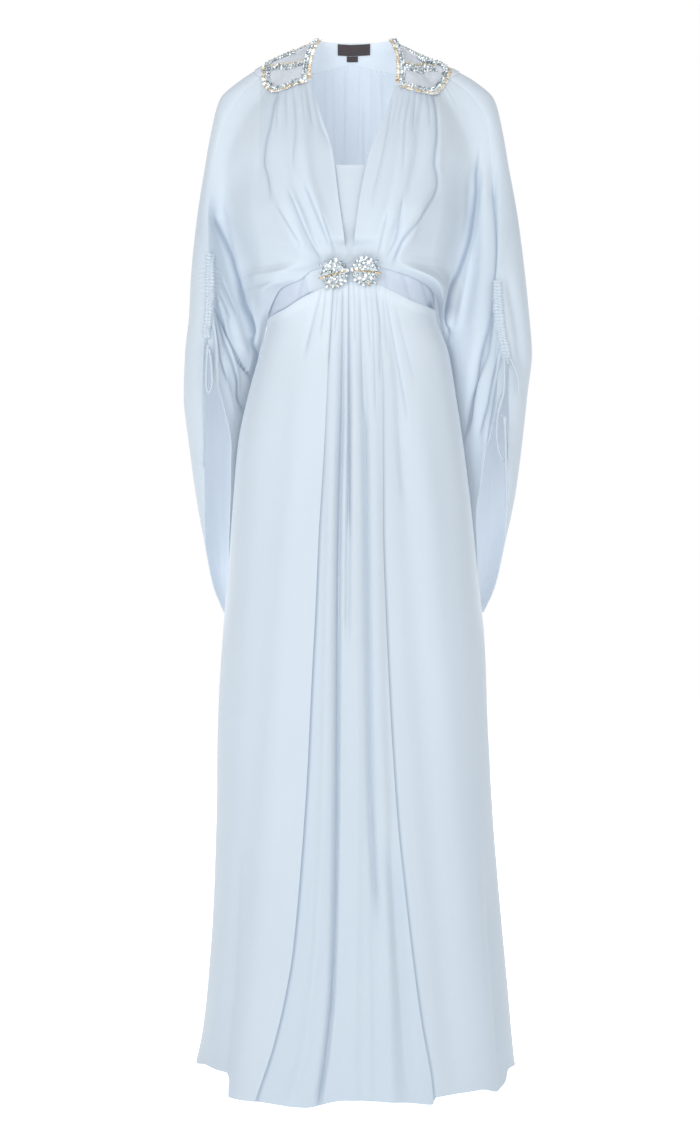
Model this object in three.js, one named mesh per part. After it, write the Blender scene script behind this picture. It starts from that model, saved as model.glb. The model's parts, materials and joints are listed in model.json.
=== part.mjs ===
// Worn kaftan gown. Millimetres, +Z up, front towards -Y, left sleeve towards -X.
// Origin: midway between the shoulder yokes at the neck, where the gown hangs when worn.
import * as THREE from "three";

const clothWall = 1.4;
const seamGap = 0.3;
const neckTop = 21;
const sleeveTip = -800;
const hemLevel = -1434;
const channelLift = 2.8;
const tieRadius = 1.8;
const pleatLap = 16;
const lapLift = 4.8;
const bandDrop = 0.9;
const insertMargin = 9;
const gatherCount = 11;
const claspRadius = 19;
const claspLean = 0.25;

const LEFT = -1;
const RIGHT = 1;

const clamp = (v, lo, hi) => Math.min(hi, Math.max(lo, v));
const mix = (a, b, t) => a + (b - a) * t;
const smooth = (t) => {
  const c = clamp(t, 0, 1);
  return c * c * (3 - 2 * c);
};
const radians = (deg) => (deg * Math.PI) / 180;

// A smooth curve through rows that never overshoots them.
function curveThrough(xs, ys) {
  const n = xs.length;
  const slope = [];
  for (let i = 0; i < n - 1; i += 1) {
    slope.push((ys[i + 1] - ys[i]) / (xs[i + 1] - xs[i]));
  }
  const tangent = [slope[0]];
  for (let i = 1; i < n - 1; i += 1) {
    const flat = slope[i - 1] * slope[i] <= 0;
    tangent.push(flat ? 0 : (2 * slope[i - 1] * slope[i]) / (slope[i - 1] + slope[i]));
  }
  tangent.push(slope[n - 2]);
  return (x) => {
    if (x <= xs[0]) return ys[0];
    if (x >= xs[n - 1]) return ys[n - 1];
    let i = 0;
    while (x > xs[i + 1]) i += 1;
    const h = xs[i + 1] - xs[i];
    const t = (x - xs[i]) / h;
    const a = ys[i] * (1 + 2 * t) * (1 - t) ** 2 + ys[i + 1] * (3 - 2 * t) * t ** 2;
    return a + h * t * (1 - t) * (tangent[i] * (1 - t) - tangent[i + 1] * t);
  };
}

// Turns a table with named columns into one curve for each column.
function columns(names, rows) {
  const sorted = [...rows].sort((a, b) => a[0] - b[0]);
  const keys = sorted.map((row) => row[0]);
  const out = {};
  names.split(" ").forEach((name, i) => {
    out[name] = curveThrough(keys, sorted.map((row) => row[i + 1]));
  });
  return out;
}

// The body under the gown from the waist down: half widths, depths, squareness of the plan.
const ring = columns("left right front back square", [
  [-290, 116, 117, 100, 84, 1],
  [-340, 115.5, 117, 98, 84, 1],
  [-375, 116, 119, 102, 88, 1],
  [-430, 129, 138, 112, 98, 0.98],
  [-490, 145.5, 148.5, 124, 108, 0.96],
  [-560, 160, 159, 135, 118, 0.95],
  [-640, 167, 169, 147, 130, 0.93],
  [-740, 174, 179, 160, 145, 0.91],
  [-840, 182, 189, 174, 160, 0.89],
  [-960, 188.5, 193.5, 190, 176, 0.87],
  [-1080, 190, 200, 206, 192, 0.84],
  [-1200, 193.5, 209.5, 221, 206, 0.81],
  [-1320, 201.5, 220, 236, 220, 0.78],
  [-1380, 208, 225, 243, 226, 0.76],
  [-1434, 218.5, 230, 248, 232, 0.74],
]);

// Sleeve sections: outward distances of the crease, the front crest and the outer edge.
const sleeves = {
  [LEFT]: columns("edge crease crest outer", [
    [26, 45.6, 48.4, 50.2, 51.8],
    [17, 45.6, 48.5, 50.4, 52.4],
    [0, 51.4, 61, 66, 80.7],
    [-22, 55, 79.5, 97, 123.9],
    [-45, 56.2, 100.7, 127, 160],
    [-70, 53.8, 122, 154.6, 186.9],
    [-110, 42.5, 152, 178.5, 198],
    [-170, 25, 176.5, 193.5, 208.7],
    [-235, 16.7, 184, 200, 219],
    [-285, 9.5, 173.6, 199.4, 224.9],
    [-330, 5.5, 162.8, 194.5, 228.9],
    [-375, 5.5, 148.6, 190.5, 231],
    [-430, 5.5, 138, 187, 237],
    [-490, 5.5, 151.5, 185.5, 239],
    [-560, 5.5, 166, 186, 232],
    [-630, 5.5, 173, 187, 223],
    [-700, 5.5, 178, 188, 211],
    [-760, 5.5, 181, 187.5, 200],
    [-810, 5.5, 178, 183, 189],
  ]),
  [RIGHT]: columns("edge crease crest outer", [
    [26, 56.5, 58.6, 60, 61.2],
    [17, 57.8, 59.8, 61, 62.6],
    [0, 62, 69.7, 74.5, 89],
    [-22, 64.9, 85, 102, 134],
    [-45, 64.2, 104, 136, 177],
    [-70, 59.6, 126, 168, 204],
    [-110, 47.8, 153.6, 192, 215],
    [-170, 24.9, 173, 198.5, 225.8],
    [-235, 11.5, 171.9, 203, 237.7],
    [-285, 5, 163, 203.5, 244.5],
    [-330, 1.4, 155, 201.2, 249.8],
    [-375, 1.4, 146, 200.2, 254.4],
    [-430, 1.4, 148, 202.8, 258.6],
    [-490, 1.4, 155, 204.5, 252],
    [-560, 1.4, 165, 204, 245],
    [-630, 1.4, 175, 201, 236],
    [-700, 1.4, 183, 198, 222],
    [-760, 1.4, 188, 197, 209.5],
    [-810, 1.4, 187, 192, 198],
  ]),
};

// Depths of the upper sections, front negative, from the neck down to the sleeve tips.
const depths = columns("edge bust side crease crest outer backCrest backSide backMid backCentre", [
  [26, 12, 12, 13, 13, 13, 15, 18, 43, 56, 61],
  [17, 11, 11, 12, 12, 13, 15, 20, 45, 58, 63],
  [0, -12, -11, -9, -6, -2, 12, 33, 52, 65, 70],
  [-22, -38, -37, -32, -26, -16, 10, 43, 61, 74, 79],
  [-45, -58, -58, -49, -36, -23, 10, 49, 71, 84, 88],
  [-70, -75, -76, -61, -40, -25, 10, 52, 76, 91, 95],
  [-110, -95, -100, -75, -38, -24, 12, 55, 82, 98, 102],
  [-170, -112, -124, -84, -32, -25, 13, 58, 84, 101, 104],
  [-235, -117, -131, -82, -20, -30, 15, 63, 80, 97, 99],
  [-285, -115, -119, -68, -12, -37, 16, 70, 75, 91, 92],
  [-330, -106, -84, -46, -6, -41, 18, 76, 66, 86, 88],
  [-375, -98, -36, -18, 5, -43, 19, 82, 50, 60, 84],
  [-430, -98, 26, 22, 14, -40, 21, 84, 62, 55, 84],
  [-490, -98, 38, 30, 18, -37, 22, 88, 76, 66, 84],
  [-560, -98, 44, 36, 20, -26, 30, 92, 84, 74, 84],
  [-630, -98, 50, 40, 22, -14, 36, 96, 90, 80, 84],
  [-700, -98, 56, 46, 28, 4, 44, 98, 94, 86, 84],
  [-760, -98, 62, 54, 38, 24, 53, 98, 95, 90, 84],
  [-810, -98, 68, 64, 54, 46, 66, 96, 92, 86, 84],
]);

// Where bodice and sleeve end against the waist and the skirt side: angles from the front,
// and how far they stand off the body.
const innerEdge = columns("left right backLeft backRight lift", [
  [-296, 2.5, 1, 180, 180, 14],
  [-304, 5, 4, 180, 180, 13],
  [-312, 16, 16, 180, 180, 11],
  [-319, 27.6, 29, 178, 178, 8.5],
  [-328, 32, 43, 168, 168, 6.5],
  [-336, 37, 54, 160, 160, 5.5],
  [-348, 55, 68, 148, 150, 4.8],
  [-364, 66, 84, 130, 134, 4.5],
  [-379, 76, 91, 112, 116, 4.5],
  [-392, 89, 96, 100, 103, 4.5],
  [-410, 99, 102, 102, 105, 5],
  [-430, 106, 107, 106, 107, 6],
  [-490, 112, 112, 112, 112, 7],
  [-560, 113, 113, 113, 113, 7.5],
  [-700, 113, 113, 113, 113, 8],
  [-810, 116, 116, 116, 116, 9],
]);

// The cut edge of each front (the over-arm seam, then the sleeve hem) and of each back,
// as stations along the section: 1 is the front crest, 1.5 the outer edge, 2 the back crest.
const overArm = {
  [LEFT]: columns("front back", [
    [-21, 1.5, 1.5],
    [-110, 1.5, 1.5],
    [-165, 1.47, 1.47],
    [-235, 1.34, 1.34],
    [-268, 1.2, 1.2],
    [-305, 1.08, 1.08],
    [-350, 1.05, 1.05],
    [-403, 1.106, 1.106],
    [-423, 1.08, 1.112],
    [-444, 1.05, 1.12],
    [-476, 0.98, 1.124],
    [-500, 0.86, 1.126],
    [-521, 0.73, 1.13],
    [-541, 0.55, 1.142],
    [-563, 0.4, 1.155],
    [-625, 0.34, 1.19],
    [-690, 0.3, 1.32],
    [-714, 0.28, 1.5],
    [-760, 0.25, 1.53],
    [-810, 0.22, 1.55],
  ]),
  [RIGHT]: columns("front back", [
    [-27, 1.5, 1.5],
    [-110, 1.5, 1.5],
    [-165, 1.46, 1.46],
    [-235, 1.3, 1.3],
    [-300, 1.1, 1.1],
    [-345, 1.03, 1.03],
    [-390, 1.055, 1.055],
    [-440, 1.108, 1.108],
    [-465, 1.03, 1.109],
    [-479, 0.93, 1.11],
    [-500, 0.8, 1.12],
    [-528, 0.74, 1.138],
    [-573, 0.68, 1.155],
    [-626, 0.5, 1.215],
    [-656, 0.32, 1.255],
    [-672, 0.3, 1.28],
    [-712, 0.28, 1.5],
    [-760, 0.25, 1.53],
    [-810, 0.22, 1.55],
  ]),
};

// Upper edge of each front where it is gathered to the yoke, across the width.
const yokeEdge = {
  [LEFT]: curveThrough([0, 0.15, 0.31, 0.41, 0.61, 0.87, 1], [-60.5, -67, -75, -69, -50, -32, -21.3]),
  [RIGHT]: curveThrough([0, 0.1, 0.21, 0.3, 0.41, 0.62, 0.85, 1], [-66.8, -73, -78, -78.4, -67, -50, -36, -27.7]),
};

// Lower edge of the back yoke, from the shoulder (0) to the centre back (1).
const backYokeEdge = curveThrough([0, 0.35, 0.7, 1], [-22, -25, -14, -3]);

// Big folds of the fronts and sleeves: path as (distance out, height), depth (ridge positive),
// half width and the length over which the ends run out.
const bodiceFolds = {
  [LEFT]: [
    { path: [[98, -85], [110, -150], [108, -185], [90, -250], [62, -312]], depth: 5, width: 12, tail: 40 },
    { path: [[84, -88], [86, -140], [78, -210], [56, -262], [42, -310]], depth: -5, width: 9, tail: 45 },
    { path: [[66, -84], [66, -140], [60, -200], [40, -262], [30, -305]], depth: 4, width: 9, tail: 45 },
    { path: [[185, -225], [173, -285], [160, -340], [133, -428]], depth: -12, width: 10, tail: 60 },
    { path: [[186, -372], [176, -412], [177, -452]], depth: -7, width: 7, tail: 28 },
    { path: [[173, -378], [158, -420], [139, -452]], depth: -7, width: 7, tail: 24 },
    { path: [[170, -392], [160, -430], [147, -505]], depth: -7, width: 7, tail: 26 },
    { path: [[180, -385], [168, -428], [158, -480]], depth: 5, width: 8, tail: 28 },
  ],
  [RIGHT]: [
    { path: [[112, -88], [116, -160], [114, -190], [88, -250], [62, -312]], depth: 5, width: 12, tail: 40 },
    { path: [[92, -90], [94, -150], [82, -220], [52, -300]], depth: -5, width: 9, tail: 45 },
    { path: [[74, -86], [70, -150], [58, -220], [36, -300]], depth: 4, width: 9, tail: 45 },
    { path: [[178, -140], [172, -230], [160, -300], [139, -408]], depth: -14, width: 10, tail: 55 },
    { path: [[202, -165], [202, -235], [198, -310], [189, -400], [170, -480]], depth: -9, width: 7, tail: 50 },
    { path: [[188, -180], [186, -300], [172, -400]], depth: 7, width: 10, tail: 60 },
    { path: [[205, -400], [192, -470], [189, -520]], depth: -6, width: 6, tail: 30 },
    { path: [[222, -330], [236, -400], [242, -450]], depth: -5, width: 8, tail: 40 },
  ],
};

// Soft flutes of the back above the waist, as (distance out, height).
const backFolds = [
  { path: [[30, -40], [34, -180], [22, -300]], depth: -6, width: 11, tail: 60 },
  { path: [[70, -50], [82, -180], [58, -310]], depth: -6, width: 14, tail: 60 },
  { path: [[120, -70], [146, -220], [150, -420], [170, -640]], depth: -8, width: 18, tail: 90 },
  { path: [[176, -260], [192, -460], [196, -640]], depth: -6, width: 14, tail: 90 },
];

function prepare(folds) {
  folds.forEach((fold) => {
    const rows = [...fold.path].sort((a, b) => a[1] - b[1]);
    fold.across = curveThrough(rows.map((p) => p[1]), rows.map((p) => p[0]));
    fold.low = rows[0][1];
    fold.high = rows[rows.length - 1][1];
  });
}
[bodiceFolds[LEFT], bodiceFolds[RIGHT], backFolds].forEach(prepare);

function foldHeight(folds, across, z) {
  let sum = 0;
  folds.forEach((fold) => {
    const ends = smooth((z - fold.low + fold.tail * 0.5) / fold.tail) *
      smooth((fold.high - z + fold.tail * 0.5) / fold.tail);
    const away = (across - fold.across(z)) / fold.width;
    sum += fold.depth * ends * Math.exp(-away * away);
  });
  return sum;
}

// A point of the plain ring at an angle from the front, pushed out by a lift.
function ringPoint(side, deg, z, lift = 0) {
  const a = radians(deg);
  const half = side === LEFT ? ring.left(z) : ring.right(z);
  const power = Math.abs(deg) <= 90 ? ring.square(z) : 1;
  const depth = Math.abs(deg) <= 90 ? ring.front(z) : ring.back(z);
  const sx = Math.sin(a) ** power;
  const sy = Math.abs(Math.cos(a)) ** power * Math.sign(Math.cos(a));
  const nx = Math.sin(a) / half;
  const ny = Math.cos(a) / depth;
  const n = Math.hypot(nx, ny) || 1;
  return { w: half * sx + (lift * nx) / n, y: -depth * sy - (lift * ny) / n };
}

// The section of bodice and sleeve on one side at one height.
function section(side, z) {
  const s = sleeves[side];
  const ends = smooth((-290 - z) / 12);
  const angle = side === LEFT ? innerEdge.left(z) : innerEdge.right(z);
  const backAngle = side === LEFT ? innerEdge.backLeft(z) : innerEdge.backRight(z);
  const lift = innerEdge.lift(z);
  const low = ringPoint(side, angle, z, lift);
  const lowBack = ringPoint(side, Math.max(angle, backAngle), z, lift);
  const edge = { w: mix(s.edge(z), low.w, ends), y: mix(depths.edge(z), low.y, ends) };
  const lowered = smooth((-300 - z) / 14);
  const back = { w: mix(0, lowBack.w, lowered), y: mix(depths.backCentre(z), lowBack.y, lowered) };
  const crease = Math.max(s.crease(z), edge.w + 4);
  const crest = Math.max(s.crest(z), crease + 2);
  const outer = s.outer(z);
  const run = smooth((-310 - z) / 110);
  const bustY = mix(depths.bust(z), mix(edge.y, depths.crease(z), 0.3), run);
  const sideY = mix(depths.side(z), mix(edge.y, depths.crease(z), 0.68), run);
  const front = curveThrough(
    [edge.w, mix(edge.w, crease, 0.35), mix(edge.w, crease, 0.7), crease, crest],
    [edge.y, bustY, sideY, depths.crease(z), depths.crest(z)],
  );
  const close = smooth((-350 - z) / 60);
  const midY = mix(depths.backMid(z), mix(back.y, depths.backCrest(z), 0.55), close);
  const farY = mix(depths.backSide(z), mix(back.y, depths.backCrest(z), 0.85), close);
  const rear = curveThrough(
    [back.w, mix(back.w, crest, 0.38), mix(back.w, crest, 0.72), crest],
    [back.y, midY, farY, depths.backCrest(z)],
  );
  return {
    edge, back, crest, outer, front, rear,
    crestY: depths.crest(z), outerY: depths.outer(z), rearY: depths.backCrest(z),
  };
}

// The bare cloth line: station 0 is the inner edge in front, 3 the centre back.
function clothLine(side, station, z) {
  const s = section(side, z);
  if (station <= 1) {
    const w = mix(s.edge.w, s.crest, station);
    return { w, y: s.front(w) };
  }
  if (station < 2) {
    const a = (station - 1) * Math.PI;
    const reach = Math.cos(a) > 0 ? s.crestY : s.rearY;
    return {
      w: s.crest + (s.outer - s.crest) * Math.sin(a),
      y: s.outerY + (reach - s.outerY) * Math.abs(Math.cos(a)),
    };
  }
  const w = mix(s.crest, s.back.w, station - 2);
  return { w, y: s.rear(w) };
}

function drape(side, station, z, lift = 0) {
  const step = 0.02;
  const at = clothLine(side, station, z);
  const low = clothLine(side, Math.max(0, station - step), z);
  const high = clothLine(side, Math.min(3, station + step), z);
  const length = Math.hypot(high.w - low.w, high.y - low.y) || 1;
  const nw = (high.y - low.y) / length;
  const ny = -(high.w - low.w) / length;
  const free = smooth((-376 - z) / 24);
  const frontShare = smooth((1.45 - station) / 0.3) * mix(1, smooth(station / 0.25), free);
  const backShare = smooth((station - 1.75) / 0.3) * mix(1, smooth((3 - station) / 0.3), free);
  const fold = frontShare * foldHeight(bodiceFolds[side], at.w, z) +
    backShare * foldHeight(backFolds, at.w, z);
  const push = fold + lift;
  return new THREE.Vector3(side * (at.w + nw * push), at.y + ny * push, z);
}

// Station of a given distance out on the front of a sleeve.
function frontStation(side, across, z) {
  const s = section(side, z);
  if (across <= s.crest) return (across - s.edge.w) / (s.crest - s.edge.w);
  return 1 + Math.asin(clamp((across - s.crest) / (s.outer - s.crest), 0, 1)) / Math.PI;
}

// Vertical pleats of the skirt front as (x, height): the lapped edges and the folds between.
const skirtEdges = {
  left: [[-25, -357], [-31, -455], [-33, -507], [-38, -607], [-43, -689], [-47, -787], [-52, -885],
    [-58, -1016], [-65, -1120], [-76, -1241], [-85, -1295], [-101, -1363], [-124, -1434]],
  right: [[33, -350], [38, -393], [41, -434], [43, -500], [43, -673], [47, -803], [53, -933], [58, -1016],
    [62, -1072], [71, -1159], [83, -1263], [93, -1335], [106, -1410], [108, -1434]],
};
const skirtFolds = [
  { path: [[-11, -350], [-12, -507], [-16, -656], [-19, -1016], [-24, -1279], [-32, -1366], [-42, -1434]], depth: -7, width: 6, tail: 20 },
  { path: [[-21, -350], [-23, -507], [-30, -771], [-38, -1120], [-58, -1350], [-78, -1434]], depth: 5, width: 8, tail: 30 },
  { path: [[-2, -340], [-2, -507], [-4, -700], [-5, -820]], depth: -6, width: 5, tail: 60 },
  { path: [[5, -345], [6, -550], [6, -900], [4, -1200], [0, -1434]], depth: 6, width: 9, tail: 40 },
  { path: [[12, -350], [20, -553], [23, -787], [27, -1040], [34, -1184]], depth: -6, width: 7, tail: 70 },
  { path: [[28, -360], [32, -560], [36, -900], [46, -1150], [52, -1434]], depth: 6, width: 9, tail: 50 },
  { path: [[52, -1100], [66, -1280], [74, -1434]], depth: -6, width: 11, tail: 80 },
  { path: [[-40, -360], [-60, -430]], depth: -4, width: 7, tail: 60 },
  { path: [[-60, -420], [-82, -700], [-104, -1000], [-140, -1434]], depth: 5, width: 22, tail: 220 },
  { path: [[49, -385], [64, -475], [76, -640]], depth: -4, width: 7, tail: 60 },
  { path: [[66, -480], [96, -900], [138, -1434]], depth: -7, width: 16, tail: 260 },
  { path: [[90, -520], [128, -900], [176, -1434]], depth: 7, width: 20, tail: 260 },
  { path: [[-155, -1180], [-168, -1434]], depth: -20, width: 13, tail: 160 },
  { path: [[188, -1150], [203, -1434]], depth: -14, width: 11, tail: 160 },
];
prepare(skirtFolds);
const lapLeft = columns("x", skirtEdges.left.map((p) => [p[1], p[0]])).x;
const lapRight = columns("x", skirtEdges.right.map((p) => [p[1], p[0]])).x;

// Flutes of the skirt back: angle from the front, growing from hip to hem.
const backFlutes = [
  { angle: -152, depth: 15, width: 8 },
  { angle: -124, depth: 12, width: 9 },
  { angle: -172, depth: -9, width: 7 },
  { angle: 164, depth: 14, width: 8 },
  { angle: 138, depth: -9, width: 8 },
  { angle: 116, depth: 13, width: 9 },
];

function skirtLine(deg, z, lift) {
  const side = deg < 0 ? LEFT : RIGHT;
  const turn = Math.abs(deg);
  const plain = ringPoint(side, turn, z, 0);
  let push = lift;
  if (turn < 100) {
    push += foldHeight(skirtFolds, side * plain.w, z) * smooth((100 - turn) / 12);
  }
  const grown = smooth((-420 - z) / 900);
  backFlutes.forEach((flute) => {
    const away = (deg - flute.angle) / flute.width;
    push += flute.depth * grown * Math.exp(-away * away);
  });
  const out = ringPoint(side, turn, z, push);
  return new THREE.Vector3(side * out.w, out.y, z);
}

// Angle of a given x on the skirt front.
function frontAngle(x, z) {
  const side = x < 0 ? LEFT : RIGHT;
  const half = side === LEFT ? ring.left(z) : ring.right(z);
  const s = clamp(Math.abs(x) / half, 0, 1) ** (1 / ring.square(z));
  return (side * Math.asin(s) * 180) / Math.PI;
}

// The waistband: upper and lower edge round the body.
const bandEdges = columns("top bottom", [
  [-180, -306, -358],
  [-130, -326, -372],
  [-90, -352, -388],
  [-53, -334, -379],
  [-38, -325, -370],
  [-28, -316, -364.5],
  [0, -308, -352],
  [17, -312, -354],
  [30, -318, -361.5],
  [50, -328, -370.5],
  [88, -340, -375],
  [130, -326, -370],
  [180, -306, -358],
]);

function shellOf(point, normal, wall) {
  const rows = point.length;
  const cols = point[0].length;
  const positions = [];
  const index = [];
  const half = rows * cols;
  [0, -wall].forEach((depth) => {
    for (let r = 0; r < rows; r += 1) {
      for (let c = 0; c < cols; c += 1) {
        const p = point[r][c].clone().addScaledVector(normal[r][c], depth);
        positions.push(p.x, p.y, p.z);
      }
    }
  });
  const id = (r, c, layer) => layer * half + r * cols + c;
  const quad = (a, b, c, d) => index.push(a, b, c, a, c, d);
  for (let r = 0; r < rows - 1; r += 1) {
    for (let c = 0; c < cols - 1; c += 1) {
      quad(id(r, c, 0), id(r + 1, c, 0), id(r + 1, c + 1, 0), id(r, c + 1, 0));
      quad(id(r, c, 1), id(r, c + 1, 1), id(r + 1, c + 1, 1), id(r + 1, c, 1));
    }
  }
  for (let c = 0; c < cols - 1; c += 1) {
    quad(id(0, c, 1), id(0, c, 0), id(0, c + 1, 0), id(0, c + 1, 1));
    quad(id(rows - 1, c, 0), id(rows - 1, c, 1), id(rows - 1, c + 1, 1), id(rows - 1, c + 1, 0));
  }
  for (let r = 0; r < rows - 1; r += 1) {
    quad(id(r, 0, 0), id(r, 0, 1), id(r + 1, 0, 1), id(r + 1, 0, 0));
    quad(id(r, cols - 1, 1), id(r, cols - 1, 0), id(r + 1, cols - 1, 0), id(r + 1, cols - 1, 1));
  }
  return closedGeometry(positions, index);
}

function closedGeometry(positions, index) {
  let volume = 0;
  const a = new THREE.Vector3();
  const b = new THREE.Vector3();
  const c = new THREE.Vector3();
  for (let i = 0; i < index.length; i += 3) {
    a.fromArray(positions, index[i] * 3);
    b.fromArray(positions, index[i + 1] * 3);
    c.fromArray(positions, index[i + 2] * 3);
    volume += a.dot(b.cross(c));
  }
  const order = volume > 0 ? index : index.map((_, i) => index[i - (i % 3) + ((3 - (i % 3)) % 3)]);
  const geometry = new THREE.BufferGeometry();
  geometry.setAttribute("position", new THREE.Float32BufferAttribute(positions, 3));
  geometry.setIndex(order);
  geometry.computeVertexNormals();
  return geometry;
}

// A sheet of cloth over a rectangle of parameters. place(u, v) gives the outer face.
function sheet(us, vs, place, options = {}) {
  const { wall = clothWall, outward, raise, pin, inset, shift } = options;
  const nudge = 1e-3;
  const point = [];
  const normal = [];
  vs.forEach((v) => {
    const row = [];
    const rowNormals = [];
    us.forEach((u) => {
      const p = place(u, v);
      const du = place(Math.min(1, u + nudge), v).sub(place(Math.max(0, u - nudge), v));
      const dv = place(u, Math.min(1, v + nudge)).sub(place(u, Math.max(0, v - nudge)));
      const n = du.clone().cross(dv).normalize();
      if (n.dot(outward(u, v, p)) < 0) n.negate();
      if (inset) p.addScaledVector(du.normalize(), inset(u, v) * (u < 0.5 ? 1 : -1));
      if (pin) pin(u, v, n);
      if (shift) shift(u, v, p);
      if (raise) p.addScaledVector(n, raise(u, v));
      row.push(p);
      rowNormals.push(n);
    });
    point.push(row);
    normal.push(rowNormals);
  });
  return shellOf(point, normal, wall);
}

const even = (count) => Array.from({ length: count + 1 }, (_, i) => i / count);

// Outward direction of the cloth at a station, good enough to choose a side.
function outwardAt(side, station, z) {
  const low = clothLine(side, Math.max(0, station - 0.03), z);
  const high = clothLine(side, Math.min(3, station + 0.03), z);
  return new THREE.Vector3(side * (high.y - low.y), -(high.w - low.w), 0);
}

// Heights of the rows of a bodice sheet, closer where the cloth turns.
const bodiceRows = [-35, -52, -72, -98, -130, -165, -198, -230, -258, -281, -299, -310, -320, -332, -348,
  -366, -386, -408, -434, -465, -500, -545, -605, -680, -745, sleeveTip];
const rowHeight = curveThrough(even(bodiceRows.length - 1), bodiceRows);

const cloth = { colour: 0xd3e0ec, rough: 0.85 };
const bandCloth = { colour: 0xc6d6e6, rough: 0.7 };
const netCloth = { colour: 0xc9d0dd, rough: 0.8 };
const labelCloth = { colour: 0x2b2629, rough: 0.9 };
const brassMetal = { colour: 0xcbb488, rough: 0.35, metal: 0.9 };

const group = new THREE.Group();
group.name = "kaftan";

function add(name, geometry, look) {
  const material = new THREE.MeshStandardMaterial({
    color: look.colour,
    roughness: look.rough,
    metalness: look.metal ?? 0,
  });
  material.name = name;
  const mesh = new THREE.Mesh(geometry, material);
  mesh.name = name;
  group.add(mesh);
}

// Below the waist the front and the back meet at the under-sleeve seam; their cut edges
// share one direction there so the walls stay apart.
function partSeam(atSeam, way, p) {
  if (atSeam) p.y += way * seamGap * 2 * smooth((-380 - p.z) / 8);
}

function pinSeam(side, atSeam, z, n) {
  if (!atSeam || z > -386) return;
  n.lerp(new THREE.Vector3(-side, 0, 0), smooth((-386 - z) / 20)).normalize();
}

// A height inside a bodice sheet: the rows follow the gathered edge, then settle level.
function settled(v, edge) {
  const base = rowHeight(v);
  return base + (edge - bodiceRows[0]) * (1 - smooth((bodiceRows[0] - base) / 120));
}

function frontPanel(side) {
  const spot = (u, v) => {
    const z = settled(v, yokeEdge[side](u)) - seamGap;
    return { z, station: overArm[side].front(z) * u };
  };
  const place = (u, v) => {
    const s = spot(u, v);
    return drape(side, s.station, s.z);
  };
  return sheet(even(19), even(bodiceRows.length - 1), place, {
    outward: (u, v) => outwardAt(side, spot(u, v).station, spot(u, v).z),
    pin: (u, v, n) => pinSeam(side, u <= 0, spot(u, v).z, n),
    inset: (u) => (u >= 1 ? seamGap * 1.6 : 0),
    shift: (u, v, p) => partSeam(u <= 0, -1, p),
  });
}

function backPanel(side) {
  const spot = (u, v) => {
    const z = settled(v, backYokeEdge(u)) - seamGap;
    return { z, station: mix(overArm[side].back(z), 3, u) };
  };
  const place = (u, v) => {
    const s = spot(u, v);
    return drape(side, s.station, s.z);
  };
  return sheet(even(15), even(bodiceRows.length - 1), place, {
    outward: (u, v) => outwardAt(side, spot(u, v).station, spot(u, v).z),
    pin: (u, v, n) => {
      pinSeam(side, u >= 1, spot(u, v).z, n);
      if (u >= 1 && spot(u, v).z > -313) n.setX(0).normalize();
    },
    inset: (u, v) => (u <= 0 || (u >= 1 && spot(u, v).z > -313) ? seamGap / 2 : 0),
    shift: (u, v, p) => partSeam(u >= 1, 1, p),
  });
}

// The shoulder yoke: net inside a raised frame of crystal chain, with an inner band of stones.
function yoke(side) {
  const frame = (u, v) => {
    const rim = Math.max(smooth((0.1 - u) / 0.08), smooth((0.14 - v) / 0.1), smooth((u - 0.84) / 0.1));
    const band = smooth(1 - Math.abs(v - 0.42) / 0.14) * smooth((u - 0.05) / 0.1);
    return 0.6 + 2.6 * Math.max(rim, band * 0.9);
  };
  const place = (u, v) => drape(side, u * 1.5, mix(yokeEdge[side](u), neckTop - 2.5, v));
  return sheet(even(12), even(10), place, {
    outward: (u, v) => outwardAt(side, u * 1.5, mix(yokeEdge[side](u), neckTop - 2.5, v)),
    raise: frame,
    inset: (u) => (u >= 1 ? seamGap : 0),
  });
}

function backYoke() {
  const spot = (u, v) => {
    const side = u < 0.5 ? LEFT : RIGHT;
    const along = u < 0.5 ? u * 2 : 2 - u * 2;
    const top = mix(neckTop - 2.5, neckTop + 3.5, smooth(along));
    return { side, station: mix(1.5, 3, along), z: mix(backYokeEdge(along), top, v) };
  };
  const place = (u, v) => {
    const s = spot(u, v);
    return drape(s.side, s.station, s.z);
  };
  return sheet(even(30), even(4), place, {
    outward: (u, v) => outwardAt(spot(u, v).side, spot(u, v).station, spot(u, v).z),
    inset: (u) => (u <= 0 || u >= 1 ? seamGap / 2 : 0),
  });
}

// Tapes sewn flat to the inside of the back yoke.
function neckTape(low, high, wall) {
  const place = (u, v) => {
    const x = mix(low.x, high.x, u);
    const z = mix(low.z, high.z, v);
    const behind = section(x < 0 ? LEFT : RIGHT, z).rear(Math.abs(x));
    return new THREE.Vector3(x, behind - clothWall - 1.1 - wall, z);
  };
  return sheet(even(6), even(3), place, { wall, outward: () => new THREE.Vector3(0, -1, 0) });
}

// The plain insert behind the V of the neck.
function neckInsert() {
  const place = (u, v) => {
    const z = mix(-185, -300, v);
    const low = -(sleeves[LEFT].edge(z) + insertMargin);
    const high = sleeves[RIGHT].edge(z) + insertMargin;
    return new THREE.Vector3(mix(low, high, u), depths.edge(z) + 6, z);
  };
  return sheet(even(6), even(8), place, { outward: () => new THREE.Vector3(0, -1, 0) });
}

const radial = (p) => new THREE.Vector3(p.x, p.y, 0);

function band(from, to, count) {
  const spot = (u, v) => {
    const turn = mix(from, to, u);
    const deg = turn < -180 ? turn + 360 : turn;
    return { deg, z: mix(bandEdges.top(deg), bandEdges.bottom(deg), v) };
  };
  const place = (u, v) => {
    const s = spot(u, v);
    const p = ringPoint(s.deg < 0 ? LEFT : RIGHT, Math.abs(s.deg), s.z);
    return new THREE.Vector3(Math.sign(s.deg) * p.w, p.y, s.z);
  };
  return sheet(even(count), even(4), place, { outward: (u, v, p) => radial(p) });
}

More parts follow.
